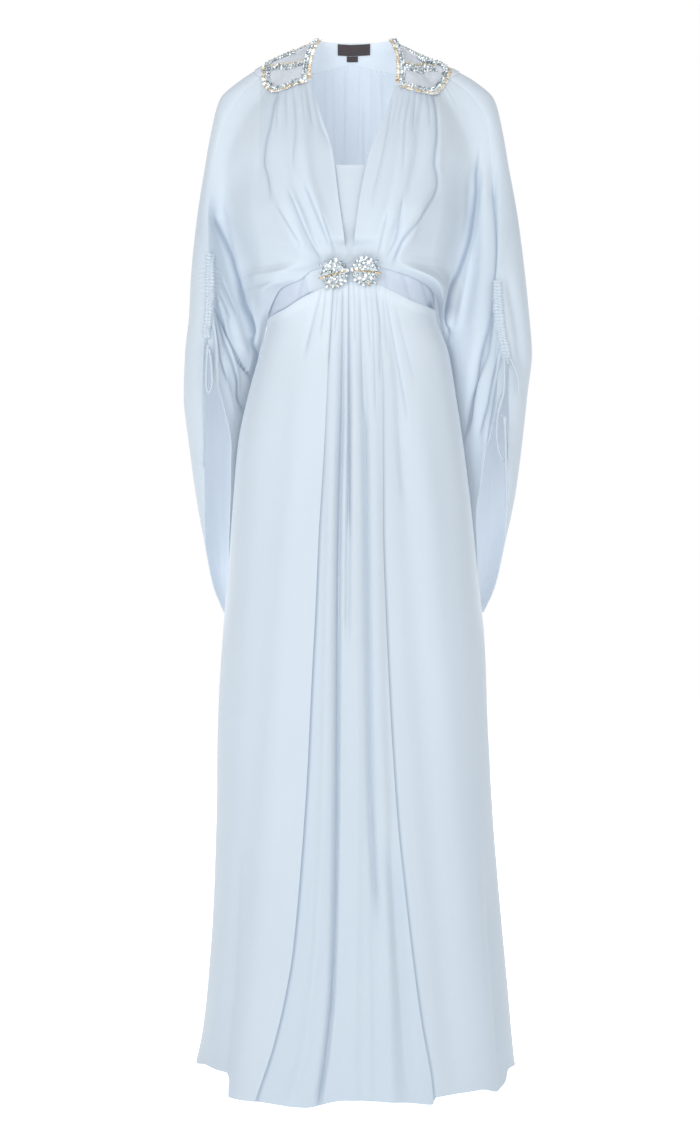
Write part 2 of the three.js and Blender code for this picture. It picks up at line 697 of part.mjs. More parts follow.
// Height of the hem round the skirt.
const hemLine = columns("z", [
  [-180, -1430], [-135, -1436], [-90, -1431], [-50, -1428], [-28, -1434], [-10, -1441], [0, -1427],
  [6, -1431], [16, -1436], [26, -1422], [42, -1430], [56, -1421], [90, -1430], [135, -1436], [180, -1430],
]).z;

const skirtRows = [0, 0.03, 0.07, 0.13, 0.2, 0.29, 0.4, 0.52, 0.64, 0.75, 0.84, 0.92, 1];

// One panel of the skirt between two edges, each given as an angle at a height.
function skirtPanel(fromAngle, toAngle, count, lift, crowd = (u) => u) {
  const spot = (share, v) => {
    const u = crowd(share);
    const start = mix(fromAngle(-356), toAngle(-356), u);
    const z = mix(bandEdges.bottom(start < -180 ? start + 360 : start) - bandDrop, hemLevel, v);
    const turn = mix(fromAngle(z), toAngle(z), u);
    const deg = turn < -180 ? turn + 360 : turn;
    return { deg, z: z + (hemLine(deg) - hemLevel) * smooth((v - 0.8) / 0.2) };
  };
  const place = (u, v) => {
    const s = spot(u, v);
    return skirtLine(s.deg, s.z, lift(crowd(u)));
  };
  return sheet(even(count), skirtRows, place, { outward: (u, v, p) => radial(p) });
}

// A strip of casing over the over-arm seam, drawn up on its cord.
function channel(side, rows, width) {
  const line = columns("across", rows).across;
  const high = rows[0][0];
  const low = rows[rows.length - 1][0];
  const place = (u, v) => {
    const z = mix(high, low, v);
    const gather = 1.1 * Math.sin(v * gatherCount * Math.PI) ** 2;
    return drape(side, frontStation(side, line(z) + (u - 0.5) * width, z), z, channelLift + gather);
  };
  return sheet(even(2), even(22), place, { wall: 1.1, outward: (u, v) => new THREE.Vector3(0, -1, 0) });
}

function tube(points, steps) {
  const curve = new THREE.CatmullRomCurve3(points.map((p) => new THREE.Vector3(...p)));
  const frames = curve.computeFrenetFrames(steps, false);
  const sides = 8;
  const positions = [];
  const index = [];
  for (let i = 0; i <= steps; i += 1) {
    const at = curve.getPointAt(i / steps);
    for (let j = 0; j < sides; j += 1) {
      const a = (j / sides) * Math.PI * 2;
      const p = at.clone()
        .addScaledVector(frames.normals[i], Math.cos(a) * tieRadius)
        .addScaledVector(frames.binormals[i], Math.sin(a) * tieRadius);
      positions.push(p.x, p.y, p.z);
    }
  }
  for (let i = 0; i < steps; i += 1) {
    for (let j = 0; j < sides; j += 1) {
      const a = i * sides + j;
      const b = i * sides + ((j + 1) % sides);
      index.push(a, b, b + sides, a, b + sides, a + sides);
    }
  }
  for (let j = 1; j < sides - 1; j += 1) {
    index.push(0, j + 1, j);
    const last = steps * sides;
    index.push(last, last + j, last + j + 1);
  }
  return closedGeometry(positions, index);
}

// One half of the clasp: a plate with a cluster of round stones and a fan of bars.
function clasp(side, centre) {
  const stones = [[-9, 1, 6], [-5, 9, 5], [-6, -8, 5], [4, 2, 6.5], [4, 12, 4], [3, -11, 4], [12, 6, 4], [12, -4, 4]];
  const flat = (u, v) => {
    const a = 2 * u - 1;
    const b = 2 * v - 1;
    const x = a * Math.sqrt(1 - (b * b) / 2);
    const y = b * Math.sqrt(1 - (a * a) / 2);
    const turn = Math.atan2(y, x);
    const fan = smooth((Math.cos(turn) + 0.15) / 0.6) * Math.cos(turn * 6) ** 2;
    const reach = claspRadius * (0.84 + 0.28 * fan);
    return { x: x * reach, y: y * reach };
  };
  const place = (u, v) => {
    const p = flat(u, v);
    return new THREE.Vector3(centre[0] + side * p.x, centre[1] - claspLean * p.y, centre[2] + p.y);
  };
  const raise = (u, v) => {
    const p = flat(u, v);
    return stones.reduce((top, s) => {
      const gap = 1 - ((p.x - s[0]) ** 2 + (p.y - s[1]) ** 2) / s[2] ** 2;
      return Math.max(top, gap > 0 ? 0.75 * s[2] * Math.sqrt(gap) : 0);
    }, 0);
  };
  return sheet(even(13), even(13), place, { wall: 2, outward: () => new THREE.Vector3(0, -1, 0), raise });
}

add("front_left", frontPanel(LEFT), cloth);
add("front_right", frontPanel(RIGHT), cloth);
add("back_left", backPanel(LEFT), cloth);
add("back_right", backPanel(RIGHT), cloth);
add("back_yoke", backYoke(), cloth);
add("neck_label", neckTape({ x: -19, z: 6 }, { x: 27.5, z: 21 }, 0.8), labelCloth);
add("size_tab", neckTape({ x: -6, z: -2 }, { x: 10, z: 5.4 }, 0.6), labelCloth);
add("neck_insert", neckInsert(), cloth);
add("yoke_left", yoke(LEFT), netCloth);
add("yoke_right", yoke(RIGHT), netCloth);
add("band_left", band(-89.9, -0.2, 12), bandCloth);
add("band_right", band(0.2, 89.9, 12), bandCloth);
add("band_back", band(-90.1, -269.9, 16), bandCloth);

const underLap = (line, z) => frontAngle(line(z) - pleatLap, z);
const frontSeam = (z) => 90 - (Math.asin((seamGap / 2 / ring.front(z)) ** (1 / ring.square(z))) * 180) / Math.PI;
const backSeam = (z) => 90 + (Math.asin(seamGap / 2 / ring.back(z)) * 180) / Math.PI;
add("skirt_front_left", skirtPanel(
  (z) => -frontSeam(z),
  (z) => frontAngle(lapLeft(z), z),
  12,
  (u) => lapLift * smooth((u - 0.55) / 0.3),
  (u) => 1 - (1 - u) ** 1.4,
), cloth);
add("skirt_front_centre", skirtPanel(
  (z) => underLap(lapLeft, z),
  (z) => frontAngle(lapRight(z), z),
  22,
  () => 0,
), cloth);
add("skirt_front_right", skirtPanel(
  (z) => underLap(lapRight, z),
  frontSeam,
  12,
  (u) => -lapLift * (1 - smooth((u - 0.18) / 0.3)),
  (u) => u ** 1.5,
), cloth);
add("skirt_back", skirtPanel((z) => -backSeam(z), (z) => backSeam(z) - 360, 24, () => 0), cloth);

add("channel_left", channel(LEFT, [[-308, 197.5], [-345, 197.5], [-385, 199], [-402, 201.5]], 10), bandCloth);
add("channel_right", channel(RIGHT, [[-345, 204], [-372, 206], [-400, 209], [-436, 217]], 13), bandCloth);

add("clasp_left", clasp(LEFT, [-22.5, -108, -334]), brassMetal);
add("clasp_right", clasp(RIGHT, [18.5, -108, -330]), brassMetal);

add("tie_left_loop", tube([[-200, -46.5, -424], [-201.5, -47, -450], [-202, -48, -478], [-198.5, -48.5, -491],
  [-194, -48.5, -478], [-195, -48, -452], [-198, -47, -430]], 22), cloth);
add("tie_left_end", tube([[-206, -46, -418], [-207.5, -46.5, -450], [-208, -47, -500], [-206.5, -46.5, -550],
  [-207.5, -46, -597]], 14), cloth);
add("tie_right_loop", tube([[214, -47, -447], [213.5, -48, -486], [206, -49, -518], [203.5, -49, -545],
  [206.5, -49, -572], [216, -49, -588], [220, -49, -568], [216.5, -49, -540], [210, -49.5, -522]], 28), cloth);
add("tie_right_end", tube([[214, -54, -524], [215.5, -54, -560], [216, -53.5, -600], [217, -52, -655]], 12), cloth);
add("tie_right_side", tube([[222.5, -43.5, -443], [229, -42.5, -456], [234, -39.5, -470], [235, -37.5, -492]], 10), cloth);

export default group;
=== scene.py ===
import json
import math
import bpy
import numpy as np
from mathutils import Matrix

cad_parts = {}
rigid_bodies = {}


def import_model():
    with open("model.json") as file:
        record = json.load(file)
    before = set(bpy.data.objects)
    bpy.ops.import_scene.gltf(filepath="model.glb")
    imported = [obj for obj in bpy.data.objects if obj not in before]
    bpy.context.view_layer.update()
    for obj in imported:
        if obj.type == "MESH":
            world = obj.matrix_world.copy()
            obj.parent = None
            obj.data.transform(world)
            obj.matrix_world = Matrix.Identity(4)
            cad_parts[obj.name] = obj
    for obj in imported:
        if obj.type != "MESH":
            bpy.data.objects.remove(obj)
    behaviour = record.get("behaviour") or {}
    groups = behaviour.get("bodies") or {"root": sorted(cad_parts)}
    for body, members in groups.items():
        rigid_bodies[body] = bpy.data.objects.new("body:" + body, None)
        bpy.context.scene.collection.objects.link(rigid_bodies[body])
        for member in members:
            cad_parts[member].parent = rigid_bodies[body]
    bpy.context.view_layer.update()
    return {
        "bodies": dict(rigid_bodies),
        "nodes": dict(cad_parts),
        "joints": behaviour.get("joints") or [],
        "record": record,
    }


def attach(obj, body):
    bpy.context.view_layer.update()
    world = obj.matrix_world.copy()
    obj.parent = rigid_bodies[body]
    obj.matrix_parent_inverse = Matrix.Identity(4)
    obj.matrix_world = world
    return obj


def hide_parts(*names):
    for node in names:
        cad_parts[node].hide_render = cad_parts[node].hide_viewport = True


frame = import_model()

print("frame loaded:", len(frame["nodes"]), "nodes")
mm = 0.001
left, right = -1, 1


def smooth(t):
    t = np.clip(t, 0, 1)
    return t * t * (3 - 2 * t)


# Soft steps: under() grows from 0 to 1 a reach below the level, over() a reach above it.
def under(x, level, reach):
    return smooth((level - x) / reach)


def over(x, level, reach):
    return smooth((x - level) / reach)


def mix(a, b, t):
    return a + (b - a) * t


def slopesOf(xs, ys):
    rise = np.diff(ys, axis=0) / np.diff(xs, axis=0)
    before, after = rise[:-1], rise[1:]
    total = before + after
    level = (before * after <= 0) | (total == 0)
    inner = np.where(level, 0, 2 * before * after / np.where(level, 1, total))
    return np.concatenate([rise[:1], inner, rise[-1:]])


def between(t, h, y0, y1, m0, m1):
    curve = y0 * (1 + 2 * t) * (1 - t) ** 2 + y1 * (3 - 2 * t) * t ** 2
    return curve + h * t * (1 - t) * (m0 * (1 - t) - m1 * t)


# A smooth curve through knots that never overshoots them.
def curveThrough(xs, ys):
    xs, ys = np.array(xs, float), np.array(ys, float)
    tangent = slopesOf(xs, ys)

    def at(x):
        x = np.clip(x, xs[0], xs[-1])
        i = np.clip(np.searchsorted(xs, x) - 1, 0, len(xs) - 2)
        h = xs[i + 1] - xs[i]
        return between((x - xs[i]) / h, h, ys[i], ys[i + 1], tangent[i], tangent[i + 1])

    return at


# The same curve where every point has knots of its own.
def curveAcross(xs, ys, x):
    shape = np.broadcast(*xs, *ys, x).shape
    xs = np.stack([np.broadcast_to(k, shape) for k in xs])
    ys = np.stack([np.broadcast_to(k, shape) for k in ys])
    x = np.clip(x, xs[0], xs[-1])
    tangent = slopesOf(xs, ys)
    i = np.sum([x > knot for knot in xs[1:-1]], axis=0)[None]
    low = [np.take_along_axis(a, i, 0)[0] for a in (xs, ys, tangent)]
    high = [np.take_along_axis(a, i + 1, 0)[0] for a in (xs, ys, tangent)]
    h = high[0] - low[0]
    return between((x - low[0]) / h, h, low[1], high[1], low[2], high[2])


# A table with named columns becomes one curve for each column.
def columns(names, rows):
    rows = np.array(sorted(rows), float)
    return {n: curveThrough(rows[:, 0], rows[:, i + 1]) for i, n in enumerate(names.split())}


# The body under the gown from the waist down, by height: half widths, depths, squareness of the plan.
ring = columns("left right front back square", [
    [-290, 116, 117, 100, 84, 1],
    [-340, 115.5, 117, 98, 84, 1],
    [-375, 116, 119, 102, 88, 1],
    [-430, 129, 138, 112, 98, 0.98],
    [-490, 145.5, 148.5, 124, 108, 0.96],
    [-560, 160, 159, 135, 118, 0.95],
    [-640, 167, 169, 147, 130, 0.93],
    [-740, 174, 179, 160, 145, 0.91],
    [-840, 182, 189, 174, 160, 0.89],
    [-960, 188.5, 193.5, 190, 176, 0.87],
    [-1080, 190, 200, 206, 192, 0.84],
    [-1200, 193.5, 209.5, 221, 206, 0.81],
    [-1320, 201.5, 220, 236, 220, 0.78],
    [-1380, 208, 225, 243, 226, 0.76],
    [-1434, 218.5, 230, 248, 232, 0.74],
])

# Sleeve sections: how far out the inner edge, the crease, the front crest and the outer edge lie.
sleeves = {
    left: columns("edge crease crest outer", [
        [26, 45.6, 48.4, 50.2, 51.8],
        [17, 45.6, 48.5, 50.4, 52.4],
        [0, 51.4, 61, 66, 80.7],
        [-22, 55, 79.5, 97, 123.9],
        [-45, 56.2, 100.7, 127, 160],
        [-70, 53.8, 122, 154.6, 186.9],
        [-110, 42.5, 152, 178.5, 198],
        [-170, 25, 176.5, 193.5, 208.7],
        [-235, 16.7, 184, 200, 219],
        [-285, 9.5, 173.6, 199.4, 224.9],
        [-330, 5.5, 162.8, 194.5, 228.9],
        [-375, 5.5, 148.6, 190.5, 231],
        [-430, 5.5, 138, 187, 237],
        [-490, 5.5, 151.5, 185.5, 239],
        [-560, 5.5, 166, 186, 232],
        [-630, 5.5, 173, 187, 223],
        [-700, 5.5, 178, 188, 211],
        [-760, 5.5, 181, 187.5, 200],
        [-810, 5.5, 172, 177, 181],
    ]),
    right: columns("edge crease crest outer", [
        [26, 56.5, 58.6, 60, 61.2],
        [17, 57.8, 59.8, 61, 62.6],
        [0, 62, 69.7, 74.5, 89],
        [-22, 64.9, 85, 102, 134],
        [-45, 64.2, 104, 136, 177],
        [-70, 59.6, 126, 168, 204],
        [-110, 47.8, 153.6, 192, 215],
        [-170, 24.9, 173, 198.5, 225.8],
        [-235, 11.5, 171.9, 203, 237.7],
        [-285, 5, 163, 203.5, 244.5],
        [-330, 1.4, 155, 201.2, 249.8],
        [-375, 1.4, 146, 200.2, 254.4],
        [-430, 1.4, 148, 202.8, 258.6],
        [-490, 1.4, 155, 204.5, 252],
        [-560, 1.4, 165, 204, 245],
        [-630, 1.4, 175, 201, 236],
        [-700, 1.4, 183, 198, 222],
        [-760, 1.4, 188, 197, 209.5],
        [-810, 1.4, 180, 184, 188],
    ]),
}

# Depths of the upper sections, front negative, from the neck down to the sleeve tips.
depths = columns("edge bust side crease crest outer backCrest backSide backMid backCentre", [
    [26, 12, 12, 13, 13, 13, 15, 18, 43, 56, 61],
    [17, 11, 11, 12, 12, 13, 15, 20, 45, 58, 63],
    [0, -12, -11, -9, -6, -2, 12, 33, 52, 65, 70],
    [-22, -38, -37, -32, -26, -16, 10, 43, 61, 74, 79],
    [-45, -58, -58, -49, -36, -23, 10, 49, 71, 84, 88],
    [-70, -75, -76, -61, -40, -25, 10, 52, 76, 91, 95],
    [-110, -95, -100, -75, -38, -24, 12, 55, 82, 98, 102],
    [-170, -112, -124, -84, -32, -25, 13, 58, 84, 101, 104],
    [-235, -117, -131, -82, -20, -30, 15, 63, 80, 97, 99],
    [-285, -115, -119, -68, -12, -37, 16, 70, 75, 91, 92],
    [-330, -106, -84, -46, -6, -41, 18, 76, 66, 86, 88],
    [-375, -98, -36, -18, 5, -43, 19, 82, 50, 60, 84],
    [-430, -98, 26, 22, 14, -40, 21, 84, 62, 55, 84],
    [-490, -98, 38, 30, 18, -37, 22, 88, 76, 66, 84],
    [-560, -98, 44, 36, 20, -26, 30, 92, 84, 74, 84],
    [-630, -98, 50, 40, 22, -14, 36, 96, 90, 80, 84],
    [-700, -98, 56, 46, 28, 4, 44, 98, 94, 86, 84],
    [-760, -98, 62, 54, 38, 24, 53, 98, 95, 90, 84],
    [-810, -98, 68, 64, 54, 46, 66, 96, 92, 86, 84],
])

# Where bodice and sleeve end against the waist: angles from the front, and the distance off the body.
innerEdge = columns("left right backLeft backRight lift", [
    [-296, 2.5, 1, 180, 180, 14],
    [-304, 5, 4, 180, 180, 13],
    [-312, 16, 16, 180, 180, 11],
    [-319, 27.6, 29, 178, 178, 8.5],
    [-328, 32, 43, 168, 168, 6.5],
    [-336, 37, 54, 160, 160, 5.5],
    [-348, 55, 68, 148, 150, 4.8],
    [-364, 66, 84, 130, 134, 4.5],
    [-379, 76, 91, 112, 116, 4.5],
    [-392, 89, 96, 100, 103, 4.5],
    [-410, 99, 102, 102, 105, 5],
    [-430, 106, 107, 106, 107, 6],
    [-490, 112, 112, 112, 112, 7],
    [-560, 113, 113, 113, 113, 7.5],
    [-700, 113, 113, 113, 113, 8],
    [-810, 116, 116, 116, 116, 9],
])

# Cut edge of each front and back as stations: 1 is the front crest, 1.5 the outer edge, 2 the back crest.
overArm = {
    left: columns("front back", [
        [-21, 1.5, 1.5],
        [-110, 1.5, 1.5],
        [-165, 1.47, 1.47],
        [-235, 1.34, 1.34],
        [-268, 1.2, 1.2],
        [-305, 1.08, 1.08],
        [-350, 1.05, 1.05],
        [-403, 1.106, 1.106],
        [-423, 1.08, 1.112],
        [-444, 1.07, 1.12],
        [-476, 1.03, 1.124],
        [-500, 0.88, 1.126],
        [-521, 0.73, 1.13],
        [-541, 0.55, 1.142],
        [-563, 0.4, 1.155],
        [-625, 0.34, 1.19],
        [-690, 0.3, 1.32],
        [-714, 0.28, 1.5],
        [-760, 0.25, 1.53],
        [-810, 0.22, 1.55],
    ]),
    right: columns("front back", [
        [-27, 1.5, 1.5],
        [-110, 1.5, 1.5],
        [-165, 1.46, 1.46],
        [-235, 1.3, 1.3],
        [-300, 1.1, 1.1],
        [-345, 1.03, 1.03],
        [-390, 1.055, 1.055],
        [-440, 1.108, 1.108],
        [-465, 1.08, 1.109],
        [-479, 1.06, 1.11],
        [-500, 1.02, 1.12],
        [-528, 0.92, 1.138],
        [-573, 0.7, 1.155],
        [-626, 0.5, 1.215],
        [-656, 0.32, 1.255],
        [-672, 0.3, 1.28],
        [-712, 0.28, 1.5],
        [-760, 0.25, 1.53],
        [-810, 0.22, 1.55],
    ]),
}

# Lower edge of the yokes across their width, and of the back yoke from shoulder to centre back.
yokeEdge = {
    left: curveThrough([0, 0.15, 0.31, 0.41, 0.61, 0.87, 1], [-60.5, -67, -75, -69, -50, -32, -21.3]),
    right: curveThrough(
        [0, 0.1, 0.21, 0.3, 0.41, 0.62, 0.85, 1], [-66.8, -73, -78, -78.4, -67, -50, -36, -27.7]),
}
backYokeEdge = curveThrough([0, 0.35, 0.7, 1], [-22, -25, -14, -3])
neckTop = 21


# The line of a fold as distance out by height, with its lower and upper end.
def across(path):
    path = sorted(path, key=lambda point: point[1])
    line = curveThrough([p[1] for p in path], [p[0] for p in path])
    return line, path[0][1], path[-1][1]


# Each fold: path, depth (a ridge is positive), its width on the near and the far side, run-out.
def foldsFrom(rows):
    return [(*across(path), depth, near, far, tail) for path, depth, near, far, tail in rows]


def foldHeight(folds, x, z):
    total = np.zeros(np.broadcast(x, z).shape)
    for line, low, high, depth, near, far, tail in folds:
        ends = smooth((z - low) / tail + 0.5) * smooth((high - z) / tail + 0.5)
        away = x - line(z)
        away = away / np.where(away < 0, near, far)
        total += depth * ends * np.exp(-away * away)
    return total


# Painted crease shade: a darker line down each narrow trough, standing in for the shade there and partly
# for the darker doubled layers of sheer cloth.
troughShadeLook = {"widest": 4.5, "tight": 0.38, "deepest": -4, "strength": 0.28}


def troughShade(folds, x, z):
    lines = []
    for line, low, high, depth, near, far, tail in folds:
        if depth < 0 and min(near, far) < troughShadeLook["widest"]:
            near, far = near * troughShadeLook["tight"], far * troughShadeLook["tight"]
            lines.append((line, low, high, max(depth, troughShadeLook["deepest"]), near, far, tail))
    return -foldHeight(lines, x, z) * troughShadeLook["strength"]


def ringPoint(side, deg, z, lift=0):
    turn = np.radians(deg)
    front = np.abs(deg) <= 90
    half = np.where(side < 0, ring["left"](z), ring["right"](z))
    power = np.where(front, ring["square"](z), 1)
    depth = np.where(front, ring["front"](z), ring["back"](z))
    sine, cosine = np.sin(turn), np.cos(turn)
    sx = np.abs(sine) ** power
    sy = np.abs(cosine) ** power * np.sign(cosine)
    nx, ny = sine / half, cosine / depth
    n = np.hypot(nx, ny)
    return half * sx + lift * nx / n, -depth * sy - lift * ny / n


def section(side, z):
    s = sleeves[side]
    ends, lowered = under(z, -290, 12), under(z, -300, 14)
    atClasp = under(z, -292, 8) * over(z, -348, 28)  # the fronts run on behind the clasp
    angle = innerEdge["left" if side == left else "right"](z + 9 * atClasp)
    backAngle = np.maximum(angle, innerEdge["backLeft" if side == left else "backRight"](z))
    lift = innerEdge["lift"](z)
    lowW, lowY = ringPoint(side, angle, z, lift)
    lowBackW, lowBackY = ringPoint(side, backAngle, z, lift)
    edgeW = mix(s["edge"](z), lowW, ends)
    edgeY = mix(depths["edge"](z), lowY, ends)
    backW = mix(0, lowBackW, lowered)
    backY = mix(depths["backCentre"](z), lowBackY, lowered)
    crease = np.maximum(s["crease"](z), edgeW + 4)
    crest = np.maximum(s["crest"](z), crease + 2)
    creaseY, crestY, rearY = depths["crease"](z), depths["crest"](z), depths["backCrest"](z)
    run = under(z, -310, 110)
    bustY = mix(depths["bust"](z), mix(edgeY, creaseY, 0.3), run)
    sideY = mix(depths["side"](z), mix(edgeY, creaseY, 0.68), run)
    close = under(z, -350, 60)
    midY = mix(depths["backMid"](z), mix(backY, rearY, 0.55), close)
    farY = mix(depths["backSide"](z), mix(backY, rearY, 0.85), close)
    return {
        "edge": edgeW, "back": backW, "crest": crest, "outer": s["outer"](z),
        "crestY": crestY, "outerY": depths["outer"](z), "rearY": rearY,
        "front": ([edgeW, mix(edgeW, crease, 0.35), mix(edgeW, crease, 0.7), crease, crest],
                  [edgeY, bustY, sideY, creaseY, crestY]),
        "rear": ([backW, mix(backW, crest, 0.38), mix(backW, crest, 0.72), crest],
                 [backY, midY, farY, rearY]),
    }


# The bare cloth line: station 0 is the inner edge in front, 3 the centre back.
def clothLine(side, station, z):
    s = section(side, z)
    frontW = mix(s["edge"], s["crest"], np.clip(station, 0, 1))
    rearW = mix(s["crest"], s["back"], np.clip(station - 2, 0, 1))
    turn = (np.clip(station, 1, 2) - 1) * math.pi
    reach = np.where(np.cos(turn) > 0, s["crestY"], s["rearY"])
    arcW = s["crest"] + (s["outer"] - s["crest"]) * np.sin(turn)
    arcY = s["outerY"] + (reach - s["outerY"]) * np.abs(np.cos(turn))
    atFront, atRear = station <= 1, station >= 2
    w = np.where(atFront, frontW, np.where(atRear, rearW, arcW))
    y = np.where(atFront, curveAcross(*s["front"], frontW),
                 np.where(atRear, curveAcross(*s["rear"], rearW), arcY))
    return w, y


def outwardAt(side, station, z):
    lowW, lowY = clothLine(side, np.maximum(0, station - 0.02), z)  # stations a little way to each side
    highW, highY = clothLine(side, np.minimum(3, station + 0.02), z)
    length = np.hypot(highW - lowW, highY - lowY)
    length = np.where(length == 0, 1, length)
    return (highY - lowY) / length, -(highW - lowW) / length


def facingOut(side, station, z):
    nw, ny = outwardAt(side, station, z)
    return np.stack([side * nw, ny, 0 * z], -1)


# Cloth with its folds; fine(w, z, station) adds the small ones.
def drape(side, station, z, lift=0, fine=None):
    station, z = np.broadcast_arrays(station, z)
    w, y = clothLine(side, station, z)
    nw, ny = outwardAt(side, station, z)
    free = under(z, -376, 24)
    frontShare = under(station, 1.45, 0.3) * mix(1, smooth(station / 0.25), free)
    backShare = over(station, 1.75, 0.3) * mix(1, under(station, 3, 0.3), free)
    push = lift + frontShare * foldHeight(bodiceFolds[side], w, z) + backShare * foldHeight(backFolds, w, z)
    if fine is not None:
        push = push + fine(w, z, station)
    return np.stack([side * (w + nw * push), y + ny * push, z], -1)


# Station of a distance out on the front of a sleeve.
def frontStation(side, out, z):
    s = section(side, z)
    inner = (out - s["edge"]) / (s["crest"] - s["edge"])
    outer = 1 + np.arcsin(np.clip((out - s["crest"]) / (s["outer"] - s["crest"]), 0, 1)) / math.pi
    return np.where(out <= s["crest"], inner, outer)


# Big folds of the fronts and sleeves as (distance out, height).
bodiceFolds = {
    left: foldsFrom([
        ([[98, -85], [110, -150], [108, -185], [90, -250], [62, -312]], 5, 12, 12, 40),
        ([[84, -88], [86, -140], [78, -210], [56, -262], [42, -310]], -5, 9, 9, 45),
        ([[66, -84], [66, -140], [60, -200], [40, -262], [30, -305]], 4, 9, 9, 45),
        ([[185, -225], [173, -285], [160, -340], [133, -428]], -5, 6, 12, 60),
        ([[186, -372], [176, -412], [177, -452]], -4, 6, 7, 28),
        ([[173, -378], [158, -420], [139, -452]], -4, 6, 7, 24),
        ([[170, -392], [160, -430], [147, -505]], -4, 6, 7, 26),
        ([[180, -385], [168, -428], [158, -480]], 5, 8, 8, 28),
    ]),
    right: foldsFrom([
        ([[112, -88], [116, -160], [114, -190], [88, -250], [62, -312]], 5, 12, 12, 40),
        ([[92, -90], [94, -150], [82, -220], [52, -300]], -5, 9, 9, 45),
        ([[74, -86], [70, -150], [58, -220], [36, -300]], 4, 9, 9, 45),
        ([[178, -180], [172, -240], [160, -300], [139, -408]], -6, 13, 6, 70),
        ([[202, -165], [202, -235], [198, -310], [189, -400], [170, -480]], -5, 8, 5, 50),
        ([[188, -180], [186, -300], [172, -400]], 4, 10, 10, 60),
        ([[205, -400], [192, -470], [189, -520]], -4, 6, 6, 30),
        ([[222, -330], [236, -400], [242, -450]], -5, 8, 8, 40),
    ]),
}
backFolds = foldsFrom([
    ([[30, -40], [34, -180], [22, -300]], -6, 11, 11, 60),
    ([[70, -50], [82, -180], [58, -310]], -6, 14, 14, 60),
    ([[120, -70], [146, -220], [150, -420], [170, -640]], -8, 18, 18, 90),
    ([[176, -260], [192, -460], [196, -640]], -6, 14, 14, 90),
])

# Lapped edges of the skirt front and its big folds as (x, height).
lapLeft = across([[-25, -357], [-31, -455], [-33, -507], [-38, -607], [-43, -689], [-47, -787], [-52, -885],
                  [-58, -1016], [-65, -1120], [-76, -1241], [-85, -1295], [-101, -1363], [-124, -1434]])[0]
lapRight = across([[33, -350], [38, -393], [41, -434], [43, -500], [43, -673], [47, -803], [53, -933],
                   [58, -1016], [62, -1072], [71, -1159], [83, -1263], [93, -1335], [106, -1410],
                   [108, -1434]])[0]
skirtFolds = foldsFrom([
    ([[-11, -350], [-12, -507], [-16, -656], [-19, -1016], [-24, -1279], [-32, -1366], [-42, -1434]],
     -5, 5, 4, 20),
    ([[-21, -350], [-23, -507], [-30, -771], [-38, -1120], [-58, -1350], [-78, -1434]], 3, 8, 8, 30),
    ([[-2, -340], [-2, -507], [-4, -700], [-5, -820]], -4, 3.5, 3.5, 60),
    ([[5, -345], [6, -550], [6, -900], [4, -1200], [0, -1434]], 3.5, 9, 9, 40),
    ([[12, -350], [20, -553], [23, -787], [27, -1040], [34, -1184]], -4, 6, 4, 70),
    ([[28, -360], [32, -560], [36, -900], [46, -1150], [52, -1434]], 3.5, 9, 9, 50),
    ([[52, -1100], [66, -1280], [74, -1434]], -6, 11, 11, 80),
    ([[-40, -360], [-60, -430]], -4, 7, 7, 60),
    ([[-60, -420], [-82, -700], [-104, -1000], [-140, -1434]], 5, 22, 22, 220),
    ([[49, -385], [64, -475], [76, -640]], -4, 7, 7, 60),
    ([[66, -480], [96, -900], [138, -1434]], -4, 18, 18, 260),
    ([[90, -520], [128, -900], [176, -1434]], 4, 22, 22, 260),
    ([[-155, -1180], [-168, -1434]], -5, 13, 13, 160),
    ([[188, -1150], [203, -1434]], -5, 11, 11, 160),
])
# Flutes of the skirt back: angle, depth, width.
backFlutes = [(-152, 15, 8), (-124, 12, 9), (-172, -9, 7), (164, 14, 8), (138, -9, 8), (116, 13, 9)]


def skirtLine(deg, z, lift, fine=None):
    side = np.where(deg < 0, left, right)
    turn = np.abs(deg)
    w, y = ringPoint(side, turn, z)
    below = bandEdges["bottom"](deg) - z
    begun = over(below, -4, 26) * mix(0.25, 1, smooth(below / 240))  # they grow down from the band
    share = under(turn, 100, 12) * begun
    push = lift + share * foldHeight(skirtFolds, side * w, z)
    if fine is not None:
        push = push + fine(side * w, z, deg)
    for angle, depth, width in backFlutes:
        push = push + depth * under(z, -420, 900) * np.exp(-((deg - angle) / width) ** 2)
    w, y = ringPoint(side, turn, z, push)
    return np.stack([side * w, y, z + 0 * w], -1)


def frontAngle(x, z):
    half = np.where(x < 0, ring["left"](z), ring["right"](z))
    sine = np.clip(np.abs(x) / half, 0, 1) ** (1 / ring["square"](z))
    return np.sign(x) * np.degrees(np.arcsin(sine))


# Upper and lower edge of the waistband, and the hem, by the angle from the front.
bandEdges = columns("top bottom", [
    [-180, -306, -358],
    [-130, -326, -372],
    [-90, -352, -388],
    [-53, -334, -379],
    [-38, -325, -370],
    [-28, -316, -364.5],
    [0, -308, -352],
    [17, -312, -354],
    [30, -318, -361.5],
    [50, -328, -370.5],
    [88, -340, -375],
    [130, -326, -370],
    [180, -306, -358],
])
hemLevel = -1434
hemLine = columns("level", [
    [-180, -1430],
    [-135, -1436],
    [-90, -1428],
    [-82, -1424],
    [-60, -1409],
    [-47, -1409],
    [-43.3, -1416],
    [-41.8, -1437],
    [-28, -1436],
    [-10, -1440],
    [0, -1430],
    [6, -1432],
    [16, -1436],
    [20.5, -1438],
    [22.5, -1430],
    [42, -1428],
    [54, -1437],
    [62, -1432],
    [67, -1418],
    [90, -1432],
    [135, -1436],
    [180, -1430],
])["level"]
bodiceRows = [-35, -52, -72, -98, -130, -165, -198, -230, -258, -281, -299, -310, -320, -332, -348, -366,
              -386, -408, -434, -465, -500, -545, -605, -680, -745, -800]
rowHeight = curveThrough(np.linspace(0, 1, len(bodiceRows)), bodiceRows)


